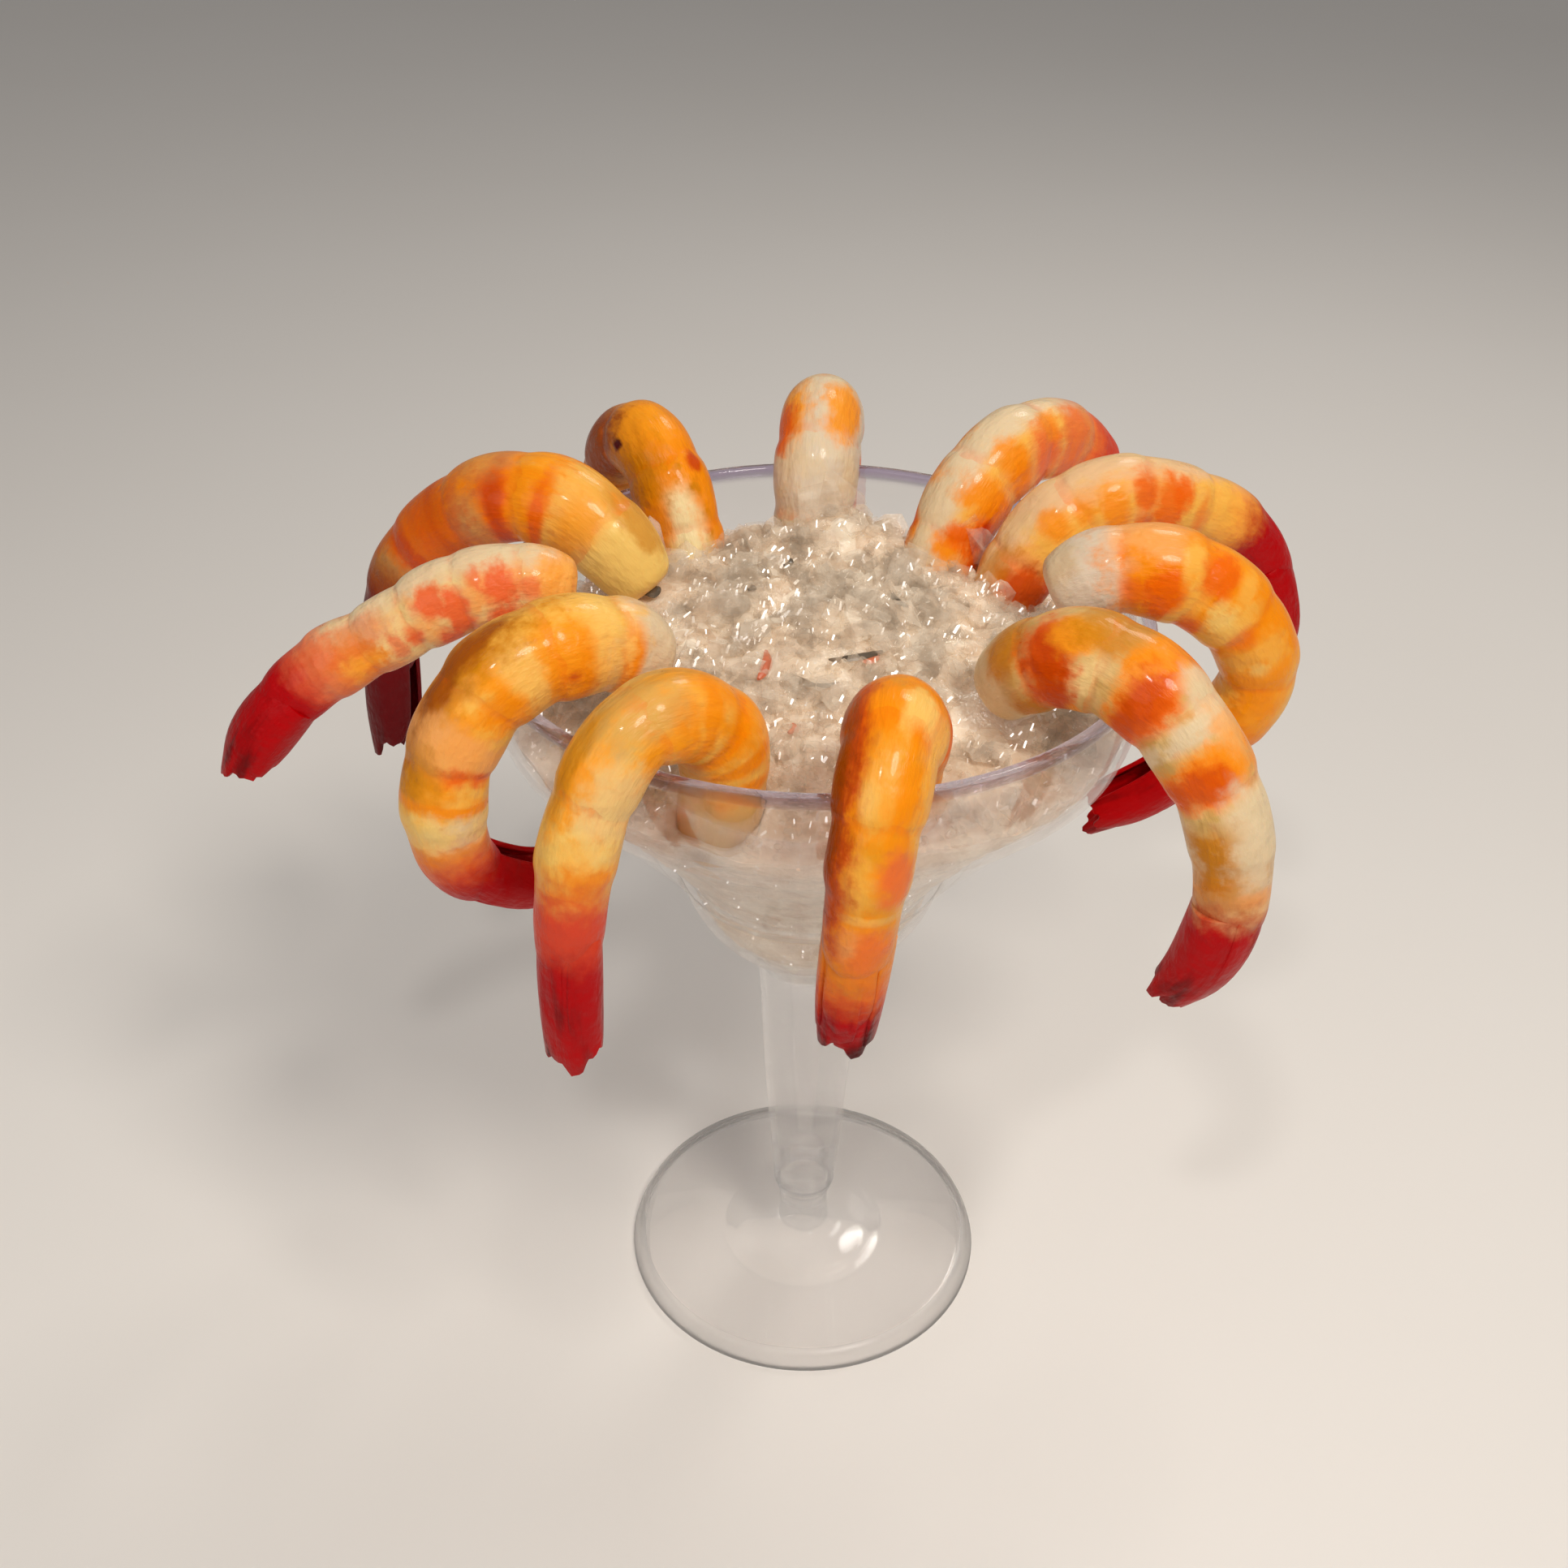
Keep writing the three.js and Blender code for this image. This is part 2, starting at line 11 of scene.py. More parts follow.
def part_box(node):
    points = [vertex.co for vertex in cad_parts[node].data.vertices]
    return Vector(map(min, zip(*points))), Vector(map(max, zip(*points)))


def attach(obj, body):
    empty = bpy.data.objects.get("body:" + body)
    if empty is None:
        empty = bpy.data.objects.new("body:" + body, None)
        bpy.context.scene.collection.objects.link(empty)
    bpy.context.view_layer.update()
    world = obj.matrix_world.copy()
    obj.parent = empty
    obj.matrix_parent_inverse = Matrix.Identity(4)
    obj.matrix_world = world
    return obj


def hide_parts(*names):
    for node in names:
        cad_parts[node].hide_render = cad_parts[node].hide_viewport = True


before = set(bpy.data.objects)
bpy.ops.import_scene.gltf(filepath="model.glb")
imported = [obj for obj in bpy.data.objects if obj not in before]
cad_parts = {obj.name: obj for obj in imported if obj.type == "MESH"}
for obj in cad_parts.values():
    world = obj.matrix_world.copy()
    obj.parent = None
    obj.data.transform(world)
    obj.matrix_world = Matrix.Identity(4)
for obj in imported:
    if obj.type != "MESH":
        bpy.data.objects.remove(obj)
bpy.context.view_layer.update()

bl_info = {
    "name": "Prawn Cocktail",
    "version": (1, 0, 0),
    "blender": (4, 5, 0),
    "location": "View3D > Sidebar > Prawn Cocktail",
    "description": "Models a glass of crushed ice with prawns hooked over its rim",
    "category": "Add Mesh",
}

MM = 0.001
FOOT_LOW, FOOT_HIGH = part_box("glass_foot")
AXIS = Vector(((FOOT_LOW.x + FOOT_HIGH.x) / 2, (FOOT_LOW.y + FOOT_HIGH.y) / 2, 0.0))

# ---- glass, in millimetres: radii from its axis, heights above the table ----
GLASS_SIDES = 96
WALL = 1.5
RIM_RADIUS = 57.5
RIM_HEIGHT = 156.0
LIP_HEIGHT = 2.6
LIP_SWELL = 0.5
LIP_ROUND = 0.65
KNEE = (54.9, 137.8)
STEP = (24.8, 102.4)
WELL = (11.2, 83.0)
RIM_BAND_BOW = 0.9
CONE_BOW = -0.9
WELL_BOW = 2.7
STEM = ((9.9, 78.5), (8.6, 50.0), (6.3, 18.0))
STEM_WALL = 1.3
# how far from the step and the well's mouth their soft painted highlight lines start and are full
LINE_WIDTHS = (1.5, 0.3)
FOOT_PLATE = (2.5, 4.0)
FOOT_KNOLL_RISE = 1.2
FOOT_COLLAR_RADIUS = 5.0
FOOT_BEAD = (5.8, 16.4)
FOOT_PEG = (4.4, 27.0)
FOOT_SKIRT = (33.4, 34.6)

# ---- crushed ice ----
ICE_EDGE_HEIGHT = 142.0
ICE_CROWN_HEIGHT = 155.5
ICE_EDGE_RADIUS = 53.25
ICE_DOME_POWER = 1.7
ICE_LUMP = 0.9
# mounds on the dome: x, y, rise, spread along x and along y
ICE_MOUNDS = ((3.0, 31.0, 6.5, 9.0, 9.0), (6.0, 33.0, 2.6, 32.0, 10.0))
ICE_INTO_WALL = 0.15
ICE_SIDES = 192
ICE_WALL_SPACING = 1.4
ICE_WALL_RELIEF = 1.1
# the uneven upper edge: rise, depth, reach inwards, and (waves round the glass, start) of each
ICE_EDGE_WAVE = 0.45
ICE_EDGE_DEPTH = 4.0
ICE_EDGE_REACH = 3.0
ICE_EDGE_WAVES = ((9, 1.0), (17, 2.4), (29, 0.0))
# the core's dome starts this far in from the edge and lies this far under the heap's height
ICE_DOME_INSET = 2.5
ICE_DOME_DROP = 0.8
# kinds of loose ice: smallest and largest in millimetres, lift from the heap as a share of the
# size, and how solid the clear and the cloudy parts look
LOOSE_ICE = (
    ("grains", 1.2, 2.6, (-0.2, 0.2), 0.2, 0.6),
    ("chips", 3.0, 6.6, (-0.25, 0.18), 0.10, 0.40),
    ("chunks", 7.0, 10.0, (-0.25, 0.10), 0.10, 0.35),
)
# large clear pieces, listed one by one: x, y from the glass's axis, height and size
ICE_SLABS = (
    (3.0, 33.0, 160.0, 12.0), (0.5, 35.0, 159.0, 9.0), (23.0, 33.0, 155.5, 11.0),
    (30.0, 31.0, 152.5, 8.0), (-31.0, 21.0, 154.0, 11.0), (-27.0, 19.0, 153.0, 8.0),
    (18.0, 13.0, 154.5, 10.0), (-9.5, -12.0, 153.0, 8.0),
)

# splinters that glow as painted glints: millimetres, lift from the heap as a share of the size,
# spread of the tilt in radians, degrees that they lean to the light, how slim they are, and
# how far in from the wall those beside it lie
SPLINTER_SIZES = (0.5, 1.5)
SPLINTER_LIFT = (0.4, 1.2)
SPLINTER_TILT = (0.45, 0.3)
SPLINTER_SLANT = (-34, 20)
SPLINTER_THIN = (0.22, 0.4)
SPLINTER_LONG = 1.7
SPLINTER_INSET = 0.8
# groups of them: sizes and lift in millimetres, then x, y, spread and how many
CLUSTER_SIZES = (0.5, 1.7)
CLUSTER_LIFT = (0.4, 1.4)
GLINT_CLUSTERS = (
    (-10.9, -8.5, 2.6, 34), (-8.5, 2.0, 2.4, 10), (-6.6, 20.0, 3.0, 14), (22.0, 34.0, 3.0, 14),
    (29.8, 13.7, 2.6, 8), (-20.2, -10.0, 2.2, 10), (-8.0, -28.0, 2.0, 8), (15.2, -24.0, 2.4, 6),
)

# slips lying in the ice, the red ones scraps of flesh, the near-black ones painted shade in
# hollows between the pieces: x, y, height, length, width, turn about the upright in degrees, and
# redness
ICE_SCRAPS_AND_SHADE_SLIPS = (
    (-8.0, -17.0, 154.2, 9.0, 1.7, 84, 1.0), (6.8, -13.0, 153.6, 9.5, 1.1, 20, 0.0),
    (9.0, -12.6, 153.0, 3.6, 1.6, 20, 1.0), (-2.6, -19.6, 152.8, 5.2, 1.3, -38, 0.0),
    (2.2, -20.0, 152.3, 3.6, 0.7, 10, 0.0), (13.6, 3.0, 155.6, 5.0, 0.8, -60, 0.0),
    (-29.3, 13.0, 150.8, 3.4, 2.4, 30, 0.0), (-11.0, 6.0, 155.8, 1.6, 0.8, 70, 0.0),
    (-4.8, 14.0, 156.6, 2.6, 0.7, 64, 0.0), (-3.0, -30.0, 150.3, 2.6, 1.0, 75, 1.0),
)

# ---- prawns: the same centre lines as the solids have ----
# the straight prawn that all are bent from: millimetres, and shares of its length
MASTER_LENGTH = 100.0
MASTER_GIRTH = 16.0
FLESH_END = 0.63
TAIL_ROOT = 0.79
PLATES = 5
BELLY = 0.9
# kinds of tail blade: length, width, cup in millimetres, and how much its tip narrows
MIDDLE_BLADE = (20.8, 7.0, 1.3, 2.2)
PADDLE_BLADE = (24.5, 8.8, 2.3, 0.6)
TAIL_INTO_BODY = 6.5
# each blade of the tail: degrees round from the back, share of the way out at its root, degrees
# that it opens, length against its kind
TAIL_BLADES = ((-50, 0.80, 1.5, 1.0), (50, 0.80, 1.5, 1.0), (-104, 0.88, 2.5, 0.93),
               (104, 0.88, 2.5, 0.93), (0, 0.90, 0.5, 1.0))
# the smooth body, as shares of its girth and length: how much thinner its head is, where it is
# full, where it starts to slim, and how fast
HEAD_THINNER, HEAD_FULL, SLIM_FROM, SLIMMING = 0.2, 0.16, 0.3, 0.68
# rings of the round head: share of the length, share of the girth
HEAD_RINGS = ((0.0, 0.36), (0.004, 0.54), (0.012, 0.68), (0.024, 0.765))
FIRST_PLATE_RING = 0.03
# how thick the last part before the tail is, ring by ring
LAST_RINGS = (0.95, 0.975, 0.985, 0.97, 0.9)
# how thick each plate is at (share of its length, share of the girth)
PLATE_SWELL = ((0.05, 0.945), (0.2, 0.985), (0.5, 1.025), (0.8, 1.045), (0.95, 1.02))


def hooked(seat, girth, *spine, turn=0, lean=0, rear=1.0, fan=1.0, flare=1.0, point=0.2,
           belly=BELLY):
    """A prawn over the rim. seat: degrees round the rim. girth: millimetres. spine: [out past
    the rim, up above the rim] in millimetres, from head end to tail tip. turn, lean: degrees.
    rear, fan, belly: how thick its last part, its tail and its belly are. flare: how far its
    tail opens. point: how far the tail narrows to its tip."""
    return dict(seat=seat, girth=girth, spine=spine, turn=turn, lean=lean, rear=rear, fan=fan,
                flare=flare, point=point, belly=belly)


PRAWNS = {
    "prawn_01": hooked(-170, 14.4, (-17, 6), (-8, 7.5), (2, 6), (14, 0), (27, -7.5), (36.5, -17),
        (41.5, -26.5), rear=1.22, fan=1.3),
    "prawn_02": hooked(157, 17.6, (-24, -6), (-17, 2), (-8, 7.5), (3, 7), (15, 0), (25, -11),
        (30.5, -25), (32.5, -40), (32.5, -56), turn=4),
    "prawn_03": hooked(125, 15.8, (-15, -16), (-13, -6), (-8, 2), (-1, 7.5), (6.5, 6), (11.5, 0),
        (14.5, -12), (15.5, -26), (14.5, -44), turn=2),
    "prawn_04": hooked(90, 17.4, (-11, -17), (-10.5, -6), (-7, 2.5), (0, 7.5), (8, 6), (14, -1),
        (18, -13), (18, -28), (15, -46), turn=-6),
    "prawn_05": hooked(52, 15.6, (-21, -16), (-16, -4), (-10, 4), (0, 9), (13, 8), (24, 0),
        (31, -11), (34, -24), (34, -38), turn=-8, belly=1.28),
    "prawn_06": hooked(31, 16, (-17, -16), (-12, -5), (-5, 3), (5, 6.5), (17, 4), (28, -1),
        (36.5, -10), (41.5, -22), (42.5, -36), turn=-14),
    "prawn_07": hooked(0, 17, (-18, 3), (-10, 7), (-1, 7.5), (8, 4), (16, -4), (18.5, -13.5),
        (12.5, -25), (4.5, -35), (-10, -43.5)),
    "prawn_08": hooked(-36, 17, (-21, -4), (-15, 3), (-6, 8), (4, 7), (14, -0.5), (21, -12),
        (23, -26), (20.5, -38), (14, -48.5), rear=1.06, fan=1.18, point=0.35),
    "prawn_09": hooked(-79.5, 16.8, (-14, -12), (-12, -2), (-7, 7), (1, 10), (8, 5), (12, -4),
        (13.5, -15), (14, -26), (13.5, -37), turn=-20, lean=4.5, flare=0.0, point=0.15),
    "prawn_10": hooked(-115, 15.2, (-10, -20), (-13, -8), (-12, 2), (-5, 8), (3, 7.5), (10, -2),
        (14, -17), (15.5, -33), (15.5, -49), turn=-27, rear=1.1, fan=1.1, point=0.15),
    "prawn_11": hooked(-142, 17.2, (-24, 1), (-16, 6.5), (-6, 8.5), (4, 6), (11, -2), (14, -13),
        (12, -24), (4, -31), (-8, -34), turn=-4, rear=1.08),
}


# ---- colours ----

def srgb(red, green, blue):
    """A colour given as on a screen, 0 to 255, as linear light."""
    def linear(value):
        share = value / 255
        return share / 12.92 if share <= 0.04045 else ((share + 0.055) / 1.055) ** 2.4
    return (linear(red), linear(green), linear(blue))


CREAM = srgb(238, 202, 136)
PALE = srgb(226, 202, 164)
MILK = srgb(220, 202, 178)
# the colour of a brightly lit spot: a painted highlight
IVORY_HIGHLIGHT = srgb(252, 232, 180)
BUTTER = srgb(246, 204, 112)
HONEY = srgb(246, 184, 80)
AMBER = srgb(250, 156, 28)
ORANGE = srgb(246, 142, 6)
MARIGOLD = srgb(230, 150, 30)
TANGERINE = srgb(236, 98, 0)
RUST = srgb(204, 70, 0)
PEACH = srgb(244, 168, 92)
SALMON = srgb(236, 102, 50)
ROSE = srgb(214, 66, 38)
OCHRE = srgb(200, 124, 4)
BROWN = srgb(146, 60, 0)
KHAKI = srgb(206, 162, 90)
CRIMSON = srgb(180, 0, 6)
MAROON = srgb(104, 2, 8)
WINE = srgb(80, 0, 2)


# ---- shader wiring ----

class Wire:
    """One output of a shader node. Arithmetic on it adds Math nodes."""

    def __init__(self, finish, socket):
        self.finish = finish
        self.socket = socket

    def _math(self, operation, *values):
        return self.finish.add("ShaderNodeMath", {"operation": operation}, dict(enumerate(values)))

    def __add__(self, other):
        return self._math("ADD", self, other)

    __radd__ = __add__

    def __sub__(self, other):
        return self._math("SUBTRACT", self, other)

    def __rsub__(self, other):
        return self._math("SUBTRACT", other, self)

    def __mul__(self, other):
        return self._math("MULTIPLY", self, other)

    __rmul__ = __mul__

    def __abs__(self):
        return self._math("ABSOLUTE", self)

    def fraction(self):
        return self._math("FRACT", self)


class Finish:
    """A material while its nodes are being wired."""

    def __init__(self, name):
        self.material = bpy.data.materials.new(name)
        self.material.use_nodes = True
        self.tree = self.material.node_tree
        self.tree.nodes.clear()

    def add(self, kind, settings=None, inputs=None, output=0):
        """Adds a node, sets it up, feeds its sockets and gives one of its outputs."""
        node = self.tree.nodes.new(kind)
        for key, value in (settings or {}).items():
            setattr(node, key, value)
        for key, value in (inputs or {}).items():
            socket = node.inputs[key]
            if isinstance(value, Wire):
                self.tree.links.new(value.socket, socket)
            elif isinstance(value, tuple) and len(value) == 3 and socket.type == "RGBA":
                socket.default_value = (*value, 1.0)
            else:
                socket.default_value = value
        return Wire(self, node.outputs[output]) if node.outputs else None

    def place(self):
        """The point on the piece, in metres."""
        return self.add("ShaderNodeTexCoord", output="Object")

    def attribute(self, name, output):
        return self.add("ShaderNodeAttribute", {"attribute_name": name}, output=output)

    def parts(self, vector):
        split = self.add("ShaderNodeSeparateXYZ", inputs={0: vector})
        return [Wire(self, output) for output in split.socket.node.outputs]

    def noise(self, vector, scale, detail=2.0, roughness=0.5, distortion=0.0):
        return self.add("ShaderNodeTexNoise", inputs={
            "Vector": vector, "Scale": scale, "Detail": detail,
            "Roughness": roughness, "Distortion": distortion})

    def cells(self, vector, scale, feature="F1", output="Distance"):
        return self.add("ShaderNodeTexVoronoi", {"feature": feature},
                        {"Vector": vector, "Scale": scale}, output)

    def step(self, value, low, high):
        """0 below low, 1 above high and smooth between; low may be the larger."""
        return self.add("ShaderNodeMapRange", {"interpolation_type": "SMOOTHSTEP"}, {
            "Value": value, "From Min": low, "From Max": high})

    def mix(self, amount, first, second):
        return self.add("ShaderNodeMix", {"data_type": "RGBA", "clamp_factor": True},
                        {0: amount, 6: first, 7: second}, 2)

    def vector(self, operation, first, second, output=0):
        return self.add("ShaderNodeVectorMath", {"operation": operation},
                        {0: first, 1: second}, output)

    def length(self, vector):
        return self.vector("LENGTH", vector, (0, 0, 0), "Value")

    def bump(self, height, strength, distance):
        return self.add("ShaderNodeBump", inputs={
            "Height": height, "Strength": strength, "Distance": distance})

    def done(self, inputs):
        shader = self.add("ShaderNodeBsdfPrincipled", inputs=inputs)
        self.add("ShaderNodeOutputMaterial", inputs={"Surface": shader})
        return self.material


# ---- modelling helpers ----

def deselect():
    if bpy.context.mode != "OBJECT":
        bpy.ops.object.mode_set(mode="OBJECT")
    bpy.ops.object.select_all(action="DESELECT")


def focus(*pieces):
    deselect()
    for piece in pieces:
        piece.select_set(True)
    bpy.context.view_layer.objects.active = pieces[0]


def settle(piece):
    """Moves a piece's place, turn and size into its mesh."""
    focus(piece)
    bpy.ops.object.transform_apply(location=True, rotation=True, scale=True)


def apply_modifiers(piece):
    focus(piece)
    for made in list(piece.modifiers):
        bpy.ops.object.modifier_apply(modifier=made.name)


def added(name, data):
    """A new object with the given data, in the scene."""
    piece = bpy.data.objects.new(name, data)
    bpy.context.collection.objects.link(piece)
    return piece


def modifier(piece, kind, **settings):
    made = piece.modifiers.new(kind.title(), kind)
    for key, value in settings.items():
        setattr(made, key, value)


def unevenness(name, kind, scale):
    """A texture that a surface is pushed in and out by. scale: metres."""
    texture = bpy.data.textures.new(name, kind)
    texture.noise_scale = scale
    return texture


def copy_of(piece, name):
    twin = piece.copy()
    twin.data = piece.data.copy()
    twin.name = name
    bpy.context.collection.objects.link(twin)
    return twin


def discard(*pieces):
    for piece in pieces:
        bpy.data.objects.remove(piece, do_unlink=True)


def dress(piece, material, node):
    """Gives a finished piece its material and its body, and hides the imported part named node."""
    piece.data.materials.clear()
    piece.data.materials.append(material)
    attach(piece, "root")
    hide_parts(node)


def start_edit():
    """Opens the current mesh with all of it selected."""
    bpy.ops.object.mode_set(mode="EDIT")
    bpy.ops.mesh.select_all(action="SELECT")


def end_edit():
    """Turns every face outwards and closes the mesh again."""
    bpy.ops.mesh.select_all(action="SELECT")
    bpy.ops.mesh.normals_make_consistent(inside=False)
    bpy.ops.object.mode_set(mode="OBJECT")


def draw_out(stations, axis, centre):
    """Extrudes the open circle along an axis and closes both ends. stations: (place along the
    axis in metres, size). centre: a point of the line that it is sized about."""
    for (start, before), (end, after) in zip(stations, stations[1:]):
        move, sizes, middle = [0, 0, 0], [after / before] * 3, list(centre)
        move[axis], sizes[axis], middle[axis] = end - start, 1, end
        bpy.ops.mesh.extrude_region_move(TRANSFORM_OT_translate={"value": move})
        bpy.ops.transform.resize(value=sizes, center_override=middle)
    bpy.ops.mesh.select_mode(type="EDGE")
    bpy.ops.mesh.select_all(action="DESELECT")
    bpy.ops.mesh.select_non_manifold()
    bpy.ops.mesh.fill_holes(sides=0)
    bpy.ops.mesh.select_mode(type="VERT")
    end_edit()


def turned(name, rings, sides):
    """A turned shape about the glass's axis: one circle, extruded and scaled from ring to ring."""
    deselect()
    first, low = rings[0]
    bpy.ops.mesh.primitive_circle_add(vertices=sides, radius=first * MM)
    piece = bpy.context.object
    piece.name = name
    start_edit()
    bpy.ops.transform.translate(value=(AXIS.x, AXIS.y, low * MM))
    draw_out([(height * MM, radius) for radius, height in rings], 2, AXIS)
    return piece


def smooth(piece, angle):
    focus(piece)
    bpy.ops.object.shade_smooth_by_angle(angle=math.radians(angle))


def over_table(x, y, z):
    """A point given in millimetres from the glass's axis at table level, in metres."""
    return AXIS + Vector((x, y, z)) * MM


# ---- glass ----

def bowed(start, end, bow, steps):
    """Points from one (radius, height) to another, bowed outwards by an amount at mid-way."""
    span = (end[0] - start[0], end[1] - start[1])
    length = math.hypot(*span)
    normal = (-span[1] / length, span[0] / length)
    points = []
    for i in range(steps + 1):
        t = i / steps
        push = bow * 4 * t * (1 - t)
        points.append((start[0] + span[0] * t + normal[0] * push,
                       start[1] + span[1] * t + normal[1] * push))
    return points


def bowl_face():
    """The bowl's outer face from under its lip down to the bottom of the small well."""
    under_lip = (RIM_RADIUS - LIP_SWELL, RIM_HEIGHT - LIP_HEIGHT)
    return (bowed(under_lip, KNEE, RIM_BAND_BOW, 6)
            + bowed(KNEE, STEP, CONE_BOW, 9)[1:]
            + bowed(STEP, WELL, WELL_BOW, 10)[1:])


def inside_of(face, thickness):
    """The same face moved inwards by a thickness, square to itself."""
    moved = []
    for i, (radius, height) in enumerate(face):
        before = face[max(i - 1, 0)]
        after = face[min(i + 1, len(face) - 1)]
        across, down = after[0] - before[0], after[1] - before[1]
        share = thickness / math.hypot(across, down)
        moved.append((radius + down * share, height - across * share))
    return moved


def bowl_rings():
    """The bowl's outline, from inside its well over its lip and down the hollow stem and back."""
    outer = bowl_face()
    lip_inside = RIM_RADIUS - WALL - LIP_SWELL
    turns = [math.radians(18 * i) for i in range(6)]
    lip = [(lip_inside + LIP_ROUND * (1 - math.cos(turn)),
            RIM_HEIGHT - LIP_ROUND * (1 - math.sin(turn))) for turn in turns]
    lip += [(RIM_RADIUS - LIP_ROUND * (1 - math.sin(turn)),
             RIM_HEIGHT - LIP_ROUND * (1 - math.cos(turn))) for turn in turns]
    lip.append((RIM_RADIUS, RIM_HEIGHT - LIP_HEIGHT + LIP_ROUND))
    stem_outer = bowed(STEM[0], STEM[1], 0, 4) + bowed(STEM[1], STEM[2], 0, 4)[1:]
    stem_inner = [(radius - STEM_WALL, height) for radius, height in reversed(stem_outer)]
    return inside_of(outer, WALL)[::-1] + lip + outer + stem_outer + stem_inner


def foot_rings():
    """The foot's outline, from the middle of its underside round its skirt up to its peg."""
    low, top = FOOT_PLATE
    knoll, collar = top + FOOT_KNOLL_RISE, FOOT_COLLAR_RADIUS
    bead, bead_height = FOOT_BEAD
    peg, peg_top = FOOT_PEG
    under = [(0.8, low + FOOT_KNOLL_RISE), (12.5, low + FOOT_KNOLL_RISE), (14.5, low + 0.6),
             (16.5, low), (17.3, low), (33.1, low), (33.8, low), (34.3, 2.1), (35.5, 0.0)]
    over = [(36.7, 0.0), (36.72, 0.5), (36.5, 1.3), (36.0, 2.4), (35.7, 3.2), (35.2, 3.75),
            (34.6, 4.0), (33.4, 4.05), (32.6, top), (31.8, top), (17.3, top), (16.5, top),
            (14.5, 4.6), (12.5, knoll), (9.0, 5.35), (6.8, 5.65), (5.6, 6.3), (5.1, 7.3),
            (collar, 9.0), (collar, bead_height - 1.6)]
    ring = [(bead - (bead - collar) * (1 - math.sin(math.radians(turn))),
             bead_height - 1.1 * math.cos(math.radians(turn))) for turn in range(0, 181, 20)]
    plug = [(peg, bead_height + 1.3), (peg, peg_top - 0.6), (peg - 0.25, peg_top - 0.15),
            (peg - 0.6, peg_top), (0.5, peg_top)]
    return under + over + ring + plug


def clear_plastic():
    """Clear moulded plastic, a little warm and cloudy, and lilac in its thick lip, with painted
    highlight lines at the step, the well's mouth and the foot's skirt.
    """
    finish = Finish("clear_plastic")
    glass = bpy.context.scene.cocktail.glass
    place = finish.place()
    height = finish.parts(place)[2]
    lip = finish.step(height, (RIM_HEIGHT - LIP_HEIGHT - 0.6) * MM, (RIM_HEIGHT - 1.2) * MM)
    cloud = finish.step(finish.noise(place, 90, 3, 0.6), 0.45, 0.75)
    wide, narrow = LINE_WIDTHS
    # painted highlight lines: whitish, more solid and rougher bands where the step and the well's
    # mouth catch the light
    step_highlight, well_highlight = [finish.step(abs(height - level * MM), wide * MM, narrow * MM)
                            for level in (STEP[1], WELL[1])]
    outwards = finish.vector("SUBTRACT", place, tuple(AXIS))
    radius = finish.length(finish.vector("MULTIPLY", outwards, (1, 1, 0)))
    flat, turned_down = FOOT_SKIRT
    # and a painted highlight line round the foot's skirt
    skirt = finish.step(radius, flat * MM, turned_down * MM) * finish.step(height, 6 * MM, 5 * MM)
    crease_highlight = step_highlight + well_highlight * 0.7 + skirt * 0.9
    colour = finish.mix(lip, tuple(glass.tint), tuple(glass.lip_tint))
    return finish.done({
        "Base Color": finish.mix(crease_highlight * 0.6, colour, (0.98, 0.97, 0.96)),
        "Roughness": 0.02 + 0.04 * cloud + 0.35 * crease_highlight, "Transmission Weight": 1.0, "IOR": 1.47,
        "Alpha": 0.36 + 0.44 * lip + crease_highlight * 0.3,
        "Normal": finish.bump(finish.noise(place, 40, 2), 0.05, 0.0012)})


# ---- crushed ice ----

def ice_height(x, y):
    """How high the heap of ice stands over a point, in millimetres from the glass's axis."""
    share = min(math.hypot(x, y) / ICE_EDGE_RADIUS, 1.0)
    dome = 1 - share ** ICE_DOME_POWER
    lumps = math.sin(x * 0.41 + 1.3) * math.cos(y * 0.37 - 0.6) + math.sin((x - y) * 0.23)
    heap = sum(rise * math.exp(-((x - mound_x) / across) ** 2 - ((y - mound_y) / deep) ** 2)
               for mound_x, mound_y, rise, across, deep in ICE_MOUNDS)
    uneven = (heap + ICE_LUMP * lumps) * (1 - share ** 6)
    return ICE_EDGE_HEIGHT + (ICE_CROWN_HEIGHT - ICE_EDGE_HEIGHT) * dome + uneven


def finely(line, spacing):
    """The same broken line with points added so that none are further apart than spacing."""
    points = [line[0]]
    for (r0, z0), (r1, z1) in zip(line, line[1:]):
        parts = max(1, math.ceil(math.hypot(r1 - r0, z1 - z0) / spacing))
        points += [(r0 + (r1 - r0) * i / parts, z0 + (z1 - z0) * i / parts)
                   for i in range(1, parts + 1)]
    return points


def along_wall(inset):
    """The bowl's inner face, moved inwards, up to the edge of the ice."""
    return [p for p in inside_of(bowl_face(), WALL + inset) if p[1] < ICE_EDGE_HEIGHT]


